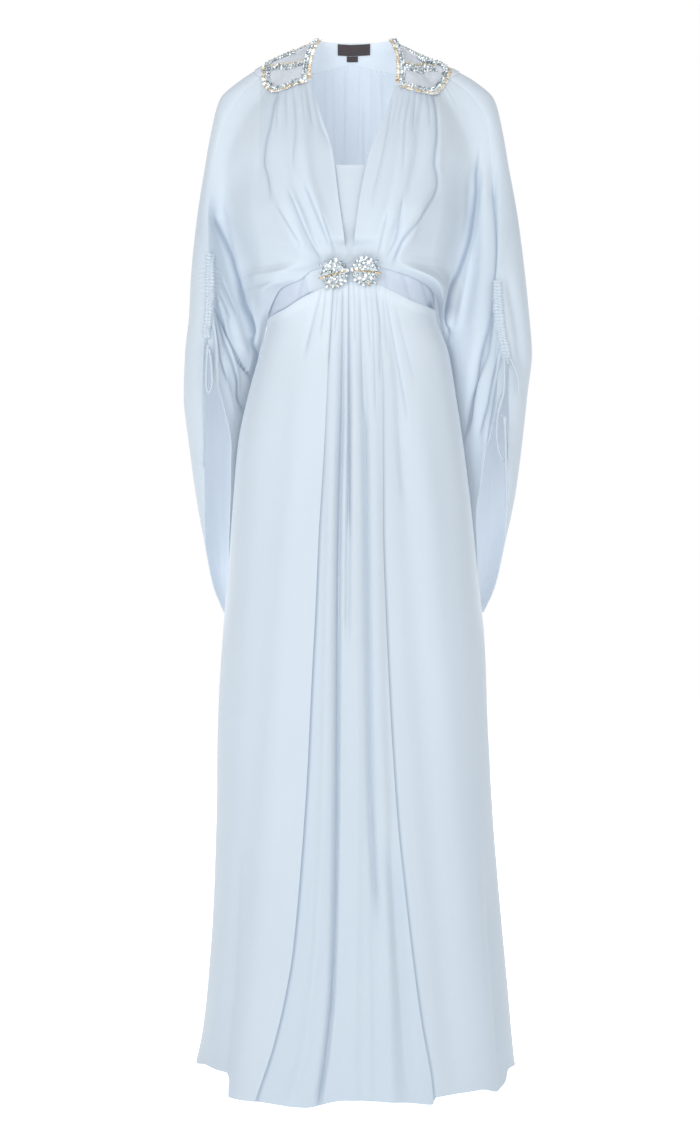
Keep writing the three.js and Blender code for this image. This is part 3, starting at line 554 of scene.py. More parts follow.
# Rows of a bodice sheet start along its gathered edge, then settle level.
def settled(v, edge):
    base = rowHeight(v)
    return base + (edge - bodiceRows[0]) * (1 - smooth((bodiceRows[0] - base) / 120))


print("surfaces ready")


def rgb(red, green, blue):
    def linear(c):
        c = c / 255
        return c / 12.92 if c <= 0.04045 else ((c + 0.055) / 1.055) ** 2.4
    return (linear(red), linear(green), linear(blue), 1.0)


# One socket of a node tree; sums on it add Math nodes.
class Wire:
    def __init__(self, tree, socket=None):
        self.tree = tree
        self.socket = socket

    def make(self, kind, settings=None, inputs=None, out=0):
        node = self.tree.nodes.new(kind)
        for key, value in (settings or {}).items():
            setattr(node, key, value)
        for key, value in (inputs or {}).items():
            if isinstance(value, Wire):
                self.tree.links.new(value.socket, node.inputs[key])
            else:
                node.inputs[key].default_value = value
        return Wire(self.tree, node.outputs[out])

    def maths(self, operation, *values):
        return self.make("ShaderNodeMath", {"operation": operation}, dict(enumerate(values)))

    def __add__(self, other):
        return self.maths("ADD", self, other)

    def __radd__(self, other):
        return self.maths("ADD", other, self)

    def __sub__(self, other):
        return self.maths("SUBTRACT", self, other)

    def __rsub__(self, other):
        return self.maths("SUBTRACT", other, self)

    def __mul__(self, other):
        return self.maths("MULTIPLY", self, other)

    def __rmul__(self, other):
        return self.maths("MULTIPLY", other, self)

    def attribute(self, name):
        return self.make("ShaderNodeAttribute", {"attribute_name": name}, None, 2)

    def place(self):
        return self.make("ShaderNodeTexCoord", None, None, 3)

    def sine(self):
        return self.maths("SINE", self)

    def clamped(self):
        return self.make("ShaderNodeClamp", None, {"Value": self})

    def colours(self, first, second):
        settings = {"data_type": "RGBA"}
        return self.make("ShaderNodeMix", settings, {0: self, 6: first, 7: second}, 2)


def material(name, look, paint):
    made = bpy.data.materials.new(name)
    made.use_nodes = True
    tree = made.node_tree
    shader = tree.nodes["Principled BSDF"]
    for key, value in look.items():
        shader.inputs[key].default_value = value
    for key, wire in paint(Wire(tree)).items():
        tree.links.new(wire.socket, shader.inputs[key])
    return made


# Painted shade colour for creases, lap shadows and dark lines under overlapping parts.
creaseShadeColour = rgb(118, 136, 160)
daylight = rgb(199, 203, 208)  # painted glow colour, standing in for light through sheer cloth from behind


# Woven cloth: its UV map runs in metres, across and down the grain.
def clothPaint(pale, deep, weave):
    def paint(start):
        flat = start.make("ShaderNodeUVMap", {"uv_map": "cloth"})
        acrossGrain = start.make("ShaderNodeSeparateXYZ", None, {0: flat})
        downGrain = Wire(acrossGrain.tree, acrossGrain.socket.node.outputs[1])
        turns = 2 * math.pi / weave["pitch"]
        threads = (acrossGrain * turns).sine() * (downGrain * turns).sine()

        def noise(scale, detail):
            stretched = start.make("ShaderNodeMapping", None, {"Vector": flat, "Scale": scale})
            inputs = {"Vector": stretched, "Scale": 1.0, "Detail": detail}
            return start.make("ShaderNodeTexNoise", None, inputs)

        crepe = noise(weave["crepe"], 2.0)
        streak = noise(weave["streak"], 3.0)
        cloudy = noise((14, 9, 1), 1.0)
        tone = start.attribute("tone")
        inside = start.attribute("inside")
        shade = tone + (streak - 0.5) * weave["streakDepth"] + (cloudy - 0.5) * weave["cloudDepth"]
        height = crepe * weave["crepeDepth"] + threads * weave["threadDepth"] + streak * 0.12
        bump = start.make("ShaderNodeBump", None, {
            "Strength": weave["relief"], "Distance": 0.0006, "Height": height})
        # Painted shade: the fold mark darkens the cloth toward the crease shade colour.
        fold = start.attribute("fold")
        cloth = (fold * weave["creaseShadeDepth"]).clamped().colours(shade.clamped().colours(deep, pale), creaseShadeColour)
        return {
            "Base Color": cloth,
            "Roughness": crepe * 0.16 + weave["rough"],
            "Normal": bump,
            # Painted glow: emission standing in for light through the sheer cloth and for light in
            # recesses.
            "Emission Color": (inside * weave["through"]).colours(rgb(0, 0, 0), daylight),
        }
    return paint


chiffonWeave = {
    "pitch": 0.00042, "crepe": (900, 260, 1), "streak": (150, 5, 1), "streakDepth": 0.1, "cloudDepth": 0.12,
    "crepeDepth": 0.5, "threadDepth": 0.12, "relief": 0.22, "rough": 0.66, "through": 0.46,
    "creaseShadeDepth": 0.6,
}
chiffonLook = {
    "Sheen Weight": 0.12, "Sheen Roughness": 0.45, "Specular IOR Level": 0.25, "Emission Strength": 1.0,
}
tones = {
    "pale": rgb(193, 203, 212), "deep": rgb(173, 186, 198),
    "slipPale": rgb(186, 196, 205), "slipDeep": rgb(178, 189, 200),
    "bandPale": rgb(192, 202, 211), "bandDeep": rgb(178, 189, 204),
}
chiffon = material("paleChiffon", chiffonLook, clothPaint(tones["pale"], tones["deep"], chiffonWeave))
slipCrepe = material("slipCrepe", {**chiffonLook, "Sheen Weight": 0.2}, clothPaint(
    tones["slipPale"], tones["slipDeep"], {**chiffonWeave, "streakDepth": 0.15, "relief": 0.1}))
bandCrepe = material("bandCrepe", {**chiffonLook, "Sheen Weight": 0.2}, clothPaint(
    tones["bandPale"], tones["bandDeep"],
    {**chiffonWeave, "streakDepth": 0.2, "relief": 0.12, "rough": 0.56}))
tapeWeave = material("wovenTape", {"Sheen Weight": 0.1, "Specular IOR Level": 0.3}, clothPaint(
    rgb(92, 84, 87), rgb(64, 57, 60),
    {**chiffonWeave, "pitch": 0.0007, "threadDepth": 0.6, "relief": 0.5, "rough": 0.7}))


# Fine net: round holes between thin threads, seen over the lilac-grey cloth behind it.
def netPaint(start):
    flat = start.make("ShaderNodeUVMap", {"uv_map": "cloth"})
    cells = start.make("ShaderNodeTexVoronoi", {"feature": "DISTANCE_TO_EDGE"}, {
        "Vector": flat, "Scale": 620.0, "Randomness": 0.35})
    thread = (1 - cells * 5.0).clamped()
    cloudy = start.make("ShaderNodeTexNoise", None, {"Vector": flat, "Scale": 90.0, "Detail": 3.0})
    bump = start.make("ShaderNodeBump", None, {"Strength": 0.35, "Distance": 0.0004, "Height": thread})
    tint = (thread * 0.4 + cloudy * 0.8 - 0.1).clamped()
    backed = start.attribute("tone")  # chiffon past the frame
    return {
        "Base Color": backed.colours(tint.colours(rgb(186, 193, 203), rgb(213, 218, 225)), tones["pale"]),
        "Roughness": cloudy * 0.2 + 0.5,
        "Normal": bump,
    }


net = material("beadedNet", {"Specular IOR Level": 0.3}, netPaint)


# Stones differ in tone at random; the facet pattern in their colour is painted glints and dark reflections,
# standing in for light off cut facets.
def stonePaint(dark, middle, bright, level):
    def paint(start):
        shade = start.attribute("shade")
        facetGlints = start.make("ShaderNodeTexVoronoi", None, {"Vector": start.place(), "Scale": 640.0}, 1)
        facetGlint = start.make("ShaderNodeSeparateColor", None, {0: facetGlints})
        tone = shade * 0.5 + facetGlint * 0.8 - 0.15 + level
        low = (tone * 2.0).clamped().colours(dark, middle)
        high = (tone * 2.2 - 1.1).clamped()
        return {"Base Color": high.colours(low, bright), "Roughness": facetGlint * 0.16 + 0.04}
    return paint


stoneLook = {"Metallic": 0.5, "Coat Weight": 0.6, "Coat Roughness": 0.03}
crystal = material("clearCrystal", stoneLook, stonePaint(
    rgb(70, 86, 94), rgb(168, 184, 192), rgb(252, 254, 255), 0.08))
# A lighter copy of the crystal: painted highlights for stones that catch the light.
crystalGlints = material("crystalPaintedGlints", stoneLook, stonePaint(
    rgb(140, 156, 164), rgb(214, 224, 230), rgb(255, 255, 255), 0.25))
champagne = material("champagneStone", stoneLook, stonePaint(
    rgb(146, 126, 98), rgb(206, 190, 162), rgb(248, 241, 226), 0.05))
sewing = material("sewingThread", {"Sheen Weight": 0.2}, clothPaint(
    rgb(176, 188, 200), rgb(150, 162, 178), {**chiffonWeave, "relief": 0.3, "through": 0.0}))


def metalPaint(start):
    worn = start.make("ShaderNodeTexNoise", None, {"Vector": start.place(), "Scale": 500.0, "Detail": 3.0})
    bump = start.make("ShaderNodeBump", None, {"Strength": 0.15, "Distance": 0.0003, "Height": worn})
    return {
        "Base Color": worn.colours(rgb(150, 122, 78), rgb(216, 194, 148)),
        "Roughness": worn * 0.25 + 0.18,
        "Normal": bump,
    }


def silverPaint(start):
    worn = start.make("ShaderNodeTexNoise", None, {"Vector": start.place(), "Scale": 700.0, "Detail": 2.0})
    return {
        "Base Color": worn.colours(rgb(112, 122, 128), rgb(206, 214, 218)),
        "Roughness": worn * 0.2 + 0.15,
    }


setting = material("paleGold", {"Metallic": 0.9}, metalPaint)
silver = material("paleSilver", {"Metallic": 0.9}, silverPaint)
print("materials ready")

cameraPlace = {"x": -0.0014, "y": -3.0, "z": -0.743, "lens": 66.4, "sensor": 36.0}
lens = bpy.data.cameras.new("camera")
lens.lens = cameraPlace["lens"]
lens.sensor_width = cameraPlace["sensor"]
camera = bpy.data.objects.new("camera", lens)
camera.location = [cameraPlace[axis] for axis in "xyz"]
camera.rotation_euler = (math.radians(90), 0, 0)
bpy.context.scene.collection.objects.link(camera)
bpy.context.scene.camera = camera


def newObject(name, mesh, paint):
    if paint is not None:
        mesh.materials.append(paint)
    made = bpy.data.objects.new(name, mesh)
    bpy.context.scene.collection.objects.link(made)
    return made


# A mesh from millimetre points and four-sided faces.
def meshOf(name, points, quads, flat, marks):
    corners = points[quads]
    spread = np.cross(corners[:, 2] - corners[:, 0], corners[:, 3] - corners[:, 1])
    if np.sum(corners.mean(1) * spread) < 0:
        quads = quads[:, ::-1]
    mesh = bpy.data.meshes.new(name)
    mesh.vertices.add(len(points))
    mesh.vertices.foreach_set("co", (points * mm).ravel())
    mesh.loops.add(quads.size)
    mesh.loops.foreach_set("vertex_index", quads.ravel())
    mesh.polygons.add(len(quads))
    mesh.polygons.foreach_set("loop_start", np.arange(0, quads.size, 4))
    mesh.polygons.foreach_set("use_smooth", np.ones(len(quads), bool))
    layer = mesh.uv_layers.new(name="cloth")
    layer.data.foreach_set("uv", (flat[quads.ravel()] * mm).ravel())
    for label, values in marks.items():
        mesh.attributes.new(label, "FLOAT", "POINT").data.foreach_set("value", values)
    mesh.update(calc_edges=True)
    mesh.validate()
    mesh.set_sharp_from_angle(angle=math.radians(55))
    return mesh


def unit(v):
    return v / np.maximum(np.linalg.norm(v, axis=-1, keepdims=True), 1e-9)


def normalsOf(points, outward):
    du, dv = np.gradient(points, axis=1), np.gradient(points, axis=0)
    n = unit(np.cross(du, dv))
    return n if np.sum(n * outward) > 0 else -n


# Length run along a line, or along one axis of a grid.
def runOf(points, axis=0):
    step = np.linalg.norm(np.diff(points, axis=axis), axis=-1)
    start = np.zeros_like(step[:, :1] if axis else step[:1])
    return np.concatenate([start, np.cumsum(step, axis=axis)], axis=axis)


def grid(cols, rows, first=0):
    return np.meshgrid(np.linspace(first, 1, cols), np.linspace(first, 1, rows))


# A thin closed shell of cloth from a grid of points on its outer face.
# glow and lining are shares of painted glow on the outer and the inner face; fold is painted shade.
def clothShell(name, points, outward, wall, tone, paint, fold=0.0, glow=0.0, lining=1.0):
    rows, cols = points.shape[:2]
    n = normalsOf(points, outward)
    both = np.concatenate([points.reshape(-1, 3), (points - n * wall).reshape(-1, 3)])
    at = np.arange(rows * cols).reshape(rows, cols)
    back = at + rows * cols
    outer = [at[:-1, :-1], at[1:, :-1], at[1:, 1:], at[:-1, 1:]]
    inner = [back[:-1, :-1], back[:-1, 1:], back[1:, 1:], back[1:, :-1]]
    rims = [
        [back[0, :-1], at[0, :-1], at[0, 1:], back[0, 1:]],
        [at[-1, :-1], back[-1, :-1], back[-1, 1:], at[-1, 1:]],
        [at[:-1, 0], back[:-1, 0], back[1:, 0], at[1:, 0]],
        [back[:-1, -1], at[:-1, -1], at[1:, -1], back[1:, -1]],
    ]
    quads = np.concatenate([np.stack([k.ravel() for k in face], -1) for face in [outer, inner, *rims]])
    flat = np.stack([runOf(points, 1), -runOf(points, 0)], -1).reshape(-1, 2)
    tone, fold = (np.tile(np.broadcast_to(mark, (rows, cols)).ravel(), 2) for mark in (tone, fold))
    lit = np.concatenate([np.broadcast_to(share, (rows, cols)).ravel() for share in (glow, lining)])
    marks = {"tone": tone, "fold": fold, "inside": lit}  # fold: painted shade; inside: painted glow on the outer face (glow) and on the inner face (lining)
    mesh = meshOf(name, both, quads, np.concatenate([flat, flat]), marks)
    return newObject(name, mesh, paint)


def finishTrim(made, nodes):
    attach(made, "root")
    if nodes:
        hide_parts(*nodes)


def finishCloth(made, node):
    finishTrim(made, [node])


# A smooth line through points, evenly stepped.
def smoothLine(points, steps):
    p = np.array(points, float)
    p = np.concatenate([2 * p[:1] - p[1:2], p, 2 * p[-1:] - p[-2:-1]])
    out = []
    for i in range(1, len(p) - 2):
        t = np.linspace(0, 1, 24, endpoint=i == len(p) - 3)[:, None]
        a, b, c, d = p[i - 1:i + 3]
        out.append(0.5 * (2 * b + (c - a) * t + (2 * a - 5 * b + 4 * c - d) * t ** 2
                          + (3 * b - a - 3 * c + d) * t ** 3))
    line = np.concatenate(out)
    run = runOf(line)
    even = np.linspace(0, run[-1], steps + 1)
    return np.stack([np.interp(even, run, line[:, k]) for k in range(line.shape[1])], -1), run[-1]


# A round cord along a line; its seam twists slowly round it.
def cordMesh(name, line, radius, sides, twist):
    tangent = unit(np.gradient(line, axis=0))
    side = unit(np.cross(tangent, [0.0, -1.0, 0.12]))
    up = np.cross(side, tangent)
    turn = np.linspace(0, 2 * math.pi, sides, endpoint=False)
    rings = []
    for i, point in enumerate(line):
        angle = turn + twist * i
        bulge = radius[i] * (1 + 0.05 * np.cos(turn * 2) - 0.09 * np.exp(-((turn - math.pi) / 0.35) ** 2))
        away = np.outer(np.cos(angle), side[i]) + np.outer(np.sin(angle), up[i])
        rings.append(point + bulge[:, None] * away)
    rings = np.array(rings)
    rings = np.concatenate([line[None, :1].repeat(sides, 1), rings, line[None, -1:].repeat(sides, 1)])
    at = np.arange(len(rings) * sides).reshape(len(rings), sides)
    ahead = np.roll(at, -1, axis=1)
    quads = np.stack([at[:-1].ravel(), ahead[:-1].ravel(), ahead[1:].ravel(), at[1:].ravel()], -1)
    flat = np.stack([np.tile(turn * radius.mean(), (len(rings), 1)),
                     np.repeat(np.linspace(0, 150, len(rings))[:, None], sides, 1)], -1).reshape(-1, 2)
    return meshOf(name, rings.reshape(-1, 3), quads, flat, {"tone": np.full(rings.shape[0] * sides, 0.3)})


# The drawstring ties: where each leaves the sleeve, how it hangs, and knots by their distance down it.
ties = {
    "tie_left_loop": {
        "route": [[-200, -46.5, -424], [-201.5, -47, -450], [-202, -48, -478], [-198.5, -48.5, -491],
                  [-194, -48.5, -478], [-195, -48, -452], [-198, -47, -430]],
        "length": 0.130, "end": "object"},
    "tie_left_end": {
        "route": [[-206, -46, -418], [-207.5, -46.5, -450], [-208, -47, -500], [-206.5, -46.5, -550],
                  [-207.5, -46, -597]],
        "length": 0.179, "end": "knot", "knots": [173]},
    "tie_right_loop": {
        "route": [[214, -47, -447], [213.5, -48, -486], [206, -49, -518], [203.5, -49, -545],
                  [206.5, -49, -572], [216, -49, -588], [220, -49, -568], [216.5, -49, -540],
                  [210, -49.5, -522]],
        "length": 0.214, "end": "knot"},
    "tie_right_end": {
        "route": [[214, -54, -524], [215.5, -54, -560], [216, -53.5, -600], [217, -52, -655]],
        "length": 0.131, "end": "knot", "knots": [5, 125]},
    "tie_right_side": {
        "route": [[222.5, -43.5, -443], [229, -42.5, -456], [234, -39.5, -470], [235, -37.5, -492]],
        "length": 0.052, "end": "bare"},
}
tieLook = {"radius": 1.8, "steps": 90, "sides": 14, "twist": 0.03, "knot": 0.5, "knotReach": 3.2}
for name, tie in ties.items():
    line, run = smoothLine(tie["route"], tieLook["steps"])
    radius = np.full(len(line), tieLook["radius"])
    down = np.linspace(0, run, len(line))
    for at in tie.get("knots", []):
        radius = radius * (1 + tieLook["knot"] * np.exp(-((down - at) / tieLook["knotReach"]) ** 2))
    radius[0] = radius[-1] = tieLook["radius"] * 0.8
    mesh = cordMesh(name, line, radius, tieLook["sides"], tieLook["twist"])
    made = newObject("cord_" + name[4:], mesh, chiffon)
    finishTrim(made, [name])
    print(name, "runs", round(float(run), 1), "mm")
print("ties made")

# Fine folds of the fronts: path as (distance out, height), depth, near width, far width, run-out.
fineFolds = {
    left: foldsFrom([
        ([[102, -78], [108, -127], [116, -161], [118, -182], [113, -198], [109, -225]], -2.6, 3.2, 8, 26),
        ([[99, -78], [101, -133]], -1.5, 2.4, 4, 30),
        ([[90, -76], [90, -128]], -1.4, 2.2, 5, 34),
        ([[80, -72], [75, -135], [80, -185]], -1.7, 2.6, 6, 40),
        ([[69, -72], [64, -120]], -1.2, 2.2, 4, 30),
        ([[62, -68], [53, -129]], -1.9, 2.6, 4, 30),
        ([[55, -66], [42, -128], [31, -155]], -1.7, 2.4, 5, 34),
        ([[85, -225], [55, -291], [42, -312]], -2.4, 2.6, 6, 26),
        ([[62, -218], [31, -294]], -2.2, 2.6, 6, 26),
        ([[99, -244], [69, -294]], -2, 2.6, 6, 26),
        ([[75, -235], [48, -305]], 1.8, 4, 4, 30),
        ([[50, -238], [27, -300]], 1.4, 4, 4, 30),
        ([[40, -255], [22, -302]], -1.4, 2.4, 4, 24),
        ([[189, -240], [170, -293], [154, -356], [145, -383], [131, -432]], -4.5, 3.4, 9, 30),
        ([[187, -356], [174, -393], [160, -435], [141, -458]], -3.2, 3, 7, 22),
        ([[181, -388], [172, -429], [150, -505]], -3.4, 3, 8, 24),
        ([[197, -392], [192, -417], [194, -465]], -2.4, 2.6, 5, 18),
        ([[189, -380], [181, -430], [176, -468]], -3.2, 2.8, 6, 22),
        ([[185, -372], [167, -413], [141, -460]], -3, 3, 7, 22),
        ([[193, -392], [181, -451], [163, -518]], 2.4, 4, 5, 30),
        ([[186, -345], [169, -380]], -1.8, 2.6, 5, 18),
        ([[182, -328], [161, -372]], -1.6, 2.6, 6, 20),
        ([[150, -120], [176, -232]], 1.2, 14, 10, 60),
        ([[146, -470], [156, -600]], -2.4, 5, 12, 60),
    ]),
    right: foldsFrom([
        ([[115, -78], [117, -133], [113, -182], [119, -208], [100, -250], [69, -291], [58, -318]],
         -3, 7, 2.8, 20),
        ([[99, -80], [95, -128]], -1.6, 4, 2.4, 30),
        ([[90, -80], [85, -135]], -1.7, 4, 2.4, 34),
        ([[82, -80], [74, -130], [71, -186]], -1.6, 5, 2.6, 40),
        ([[106, -80], [107, -127]], -1.5, 4, 2.4, 30),
        ([[73, -84], [64, -126]], -1.3, 4, 2.4, 30),
        ([[65, -84], [56, -130]], -1.2, 3, 2.4, 30),
        ([[56, -95], [46, -156], [29, -231]], -1.5, 5, 3.4, 60),
        ([[71, -232], [63, -281], [50, -310]], -2, 6, 2.6, 26),
        ([[100, -236], [79, -291]], 1.8, 5, 4, 30),
        ([[49, -258], [36, -310]], -1.8, 5, 2.6, 26),
        ([[60, -255], [44, -310]], 1.3, 4, 4, 26),
        ([[180, -160], [172, -247], [149, -344], [138, -412]], -5, 8, 4, 46),
        ([[200, -200], [201, -285], [190, -388], [177, -449], [166, -536]], -3.4, 7, 3, 36),
        ([[199, -340], [192, -429], [169, -490], [160, -548]], -2.6, 6, 3, 30),
        ([[219, -348], [228, -391], [239, -440], [237, -492]], -2.6, 3, 5, 26),
        ([[223, -430], [235, -478]], -2, 3, 4, 20),
        ([[209, -425], [195, -472], [180, -545]], -2.8, 5, 3, 24),
        ([[214, -436], [202, -479], [191, -560]], -2.4, 4, 3, 24),
        ([[160, -200], [163, -300], [152, -380]], 2, 8, 6, 50),
        ([[186, -480], [178, -600]], -2.4, 9, 5, 60),
    ]),
}
# Folds of the backs, seen through the neck and from behind.
fineBack = {
    left: foldsFrom([
        ([[9, -12], [9, -230]], -1.9, 2.4, 4, 30),
        ([[17, -20], [16, -190]], 1.2, 4, 4, 40),
        ([[27, -16], [24, -150]], -1.3, 3, 5, 40),
        ([[38, -14], [36, -120]], -1, 3, 4, 40),
        ([[56, -20], [64, -140], [52, -290]], -1.6, 4, 8, 50),
        ([[96, -30], [110, -200], [96, -330]], -2, 6, 10, 70),
        ([[140, -60], [160, -260], [168, -430]], 2, 12, 9, 80),
        ([[186, -300], [196, -420], [203, -560]], -2.6, 8, 5, 60),
        ([[205, -420], [207, -560], [199, -700]], 1.8, 8, 6, 60),
        ([[165, -420], [176, -620]], -2.2, 6, 12, 80),
    ]),
    right: foldsFrom([
        ([[6, -6], [8, -200]], 1.1, 3, 4, 40),
        ([[18, -60], [19, -210]], -2, 3, 4, 50),
        ([[12, -8], [11, -120]], -1.2, 2.6, 3, 40),
        ([[30, -12], [29, -150]], -1.1, 3, 5, 40),
        ([[44, -16], [47, -150], [36, -300]], -1.5, 4, 8, 50),
        ([[84, -26], [98, -200], [84, -330]], -2, 6, 10, 70),
        ([[132, -60], [152, -260], [158, -430]], 2, 12, 9, 80),
        ([[192, -300], [204, -420], [212, -560]], -2.6, 8, 5, 60),
        ([[220, -420], [222, -560], [210, -700]], 1.8, 8, 6, 60),
        ([[172, -420], [182, -620]], -2.2, 6, 12, 80),
    ]),
}
# Fine folds of the skirt front as (x, height).
fineSkirt = foldsFrom([
    ([[-41, -358], [-49, -388], [-61, -438]], -2.2, 6, 2.4, 30),
    ([[-24.5, -352], [-31, -456]], -2, 5, 2.2, 40),
    ([[-34, -356], [-41, -411]], -1.8, 4, 2.2, 30),
    ([[-17.8, -352], [-22, -411]], -1.7, 3, 2.2, 30),
    ([[-11, -352], [-12.5, -506], [-16.2, -657], [-18.1, -771], [-18.6, -1015], [-20.3, -1172],
      [-24.1, -1280], [-32, -1367], [-42, -1434]], -3, 6, 2.2, 20),
    ([[-3.4, -330], [-2.7, -438], [-2, -563], [-1.8, -680]], -3.6, 2.6, 2.2, 60),
    ([[4.1, -350], [5.5, -425]], -1.3, 2.2, 3, 30),
    ([[12.3, -360], [16.3, -508], [20.4, -553], [21.6, -705], [23.5, -869], [25.3, -992], [29.1, -1088],
      [34.2, -1184]], -2, 5, 2.4, 60),
    ([[20.6, -352], [25.9, -432]], -1.4, 3, 2.4, 30),
    ([[28, -356], [31, -420], [33, -520]], -1.3, 3, 2.4, 40),
    ([[34.3, -360], [39, -400], [40, -470]], -1.9, 4, 2.4, 34),
    ([[44, -362], [50, -440]], -1.4, 3, 2.4, 34),
    ([[49.6, -370], [60.5, -436], [70.6, -492], [75.3, -520]], -1.9, 6, 2.6, 50),
    ([[62, -380], [84, -470]], -1, 6, 4, 50),
    ([[22.3, -1200], [23.7, -1440]], 2.6, 5, 5, 90),
    ([[4, -900], [2, -1180], [-4, -1434]], -1.6, 7, 5, 120),
    ([[44, -620], [50, -900], [60, -1200], [80, -1434]], -1.6, 6, 9, 120),
    ([[-36, -560], [-40, -900], [-56, -1300]], -1.2, 5, 5, 120),
    ([[-84, -440], [-104, -700], [-132, -1100], [-162, -1434]], -1.2, 12, 16, 160),
    ([[-120, -480], [-140, -800], [-160, -1150]], 2, 14, 16, 160),
    ([[112, -500], [142, -800], [170, -1200]], -1.2, 14, 12, 160),
    ([[140, -700], [168, -1100], [196, -1434]], 2.4, 14, 12, 160),
    ([[-150, -1130], [-162, -1300], [-172, -1434]], -2.5, 8, 5, 100),
    ([[186, -1180], [196, -1320], [202, -1434]], -2.5, 5, 8, 100),
])
backFineFlutes = [(-112, -3, 4), (-138, 4, 4), (-160, -4, 3.5), (-179, 3, 4), (173, -4, 3.5), (152, -5, 4),
                  (128, 4, 4), (104, -3, 4)]

edgeRoll = {"height": 0.8, "width": 2.4}  # rolled edges of the neck and of the hem
hemRoll = {"height": 0.5, "width": 5}
sleeveInnerGlow = 0.88  # share of painted glow on the inner faces of the sleeves, standing in for light through the cloth
fronts = {
    "columns": 168, "rows": 185, "wall": 0.9, "pucker": 0.55, "puckerReach": 13, "puckerTurns": 44,
    "lining": {left: 127, right: 120},  # how far out it reaches
    "channel": {
        left: (across([[197.5, -308], [197.5, -345], [199, -385], [201.5, -402]])[0], -302, -408),
        right: (across([[204, -345], [206, -372], [209, -400], [217, -436]])[0], -340, -444),
    },
    "gather": {"depth": 1.1, "reach": 13, "pitch": 7.6},
    "tuck": 28, "rest": 2.4, "glow": 0.56, "glowFrom": 42, "bustGlow": 0.1, "waistGlow": 0.06,
    "tone": 0.42, "sheerTone": 0.36,
}


def channelGather(side, w, z):
    line, high, low = fronts["channel"][side]
    g = fronts["gather"]
    inside = smooth((high - z) / 16) * smooth((z - low) / 12)
    away = w - line(np.clip(z, low, high))
    wave = np.sin(2 * math.pi * (z / g["pitch"] + 0.35 * np.sin(z / 17)))
    return g["depth"] * inside * wave * np.exp(-(away / g["reach"]) ** 2)


def frontGrid(side):
    u, v = grid(fronts["columns"], fronts["rows"])
    top = yokeEdge[side](u)
    z = settled(v, top) - 0.3
    station = overArm[side]["front"](z) * u

    def fine(w, z, station):
        below = top - z
        gathered = over(u, 0.02, 0.05) * under(u, 0.56, 0.1)
        ripple = np.sin(u * fronts["puckerTurns"] * math.pi + 1.3 * np.sin(u * 21))
        total = fronts["pucker"] * gathered * ripple * np.exp(-below / fronts["puckerReach"])
        share = under(station, 1.42, 0.3) * mix(1, smooth(station / 0.2), under(z, -376, 24))
        total += share * foldHeight(fineFolds[side], w, z)
        total += channelGather(side, w, z)
        inner = w - section(side, z)["edge"]
        total += edgeRoll["height"] * np.exp(-(inner / edgeRoll["width"]) ** 2) * over(z, -300, 12)
        gap = np.maximum(innerEdge["lift"](z) - fronts["wall"] - fronts["rest"], 0)
        total -= gap * np.exp(-(inner / fronts["tuck"]) ** 2) * under(z, -284, 12)
        return total

    points = drape(side, station, z, 0, fine)
    sheer = smooth((side * points[..., 0] - fronts["lining"][side]) / 4 + 0.5)
    sheer *= over(z, -290, 120)
    tone = fronts["tone"] + fronts["sheerTone"] * sheer * smooth((z + 200) / 120 + 0.4)
    out = clothLine(side, station, z)[0]
    fold = troughShade(fineFolds[side], out, z) * under(station, 1.42, 0.3)
    # Painted light: the sheet glows where it turns back into the recesses beside the body, and over the
    # bust and waist, to lighten the shade there; the glow is cut where crease shade is painted.
    deep = smooth((points[..., 1] + fronts["glowFrom"]) / 45) * under(station, 1.15, 0.3)
    fromEdge = out - section(side, z)["edge"]
    glow = fronts["glow"] * deep * over(fromEdge, 2, 7)
    body = fronts["bustGlow"] + fronts["waistGlow"] * under(z, -270, 30)
    glow = glow + body * under(out, 140, 30) * over(z, -350, 20)
    glow = glow * (1 - np.clip(fold * 0.9, 0, 1))
    shadedPocket = over(out, 95, 15) * under(z, -345, 15) * (side == right)  # painted shade: less glow on the inner face beside the band
    inner = sleeveInnerGlow * mix(1, over(fromEdge, 4, 30), shadedPocket)
    return points, station, z, tone, fold, glow, inner


# The open edges of the sleeve part a little below the underarm.
def partEdge(edge, z, way):
    edge[..., 1] += way * 0.6 * under(z, -380, 8)


def makeFront(side, name):
    points, station, z, tone, fold, glow, inner = frontGrid(side)
    partEdge(points[:, :1], z[:, :1], -1)
    outward = facingOut(side, station, z)
    made = clothShell("cloth_" + name, points, outward, fronts["wall"], tone, chiffon, fold, glow, inner)
    finishCloth(made, name)


makeFront(left, "front_left")
makeFront(right, "front_right")
print("fronts draped")

backs = {
    "columns": 110, "rows": 150, "wall": 0.9, "pucker": 0.5, "puckerReach": 16, "puckerTurns": 50,
    "tone": 0.4, "lowerTone": 0.25,
}


def backGrid(side):
    u, v = grid(backs["columns"], backs["rows"])
    top = backYokeEdge(u)
    z = settled(v, top) - 0.3
    station = mix(overArm[side]["back"](z), 3, u)

    def fine(w, z, station):
        below = top - z
        ripple = np.sin(u * backs["puckerTurns"] * math.pi + 1.1 * np.sin(u * 17))
        total = backs["pucker"] * over(u, 0.35, 0.2) * ripple * np.exp(-below / backs["puckerReach"])
        share = over(station, 1.75, 0.3) * mix(1, under(station, 3, 0.3), under(z, -376, 24))
        total += share * foldHeight(fineBack[side], w, z)
        total += channelGather(side, w, z) * under(station, 1.6, 0.2)
        return total

    return drape(side, station, z, 0, fine), station, z


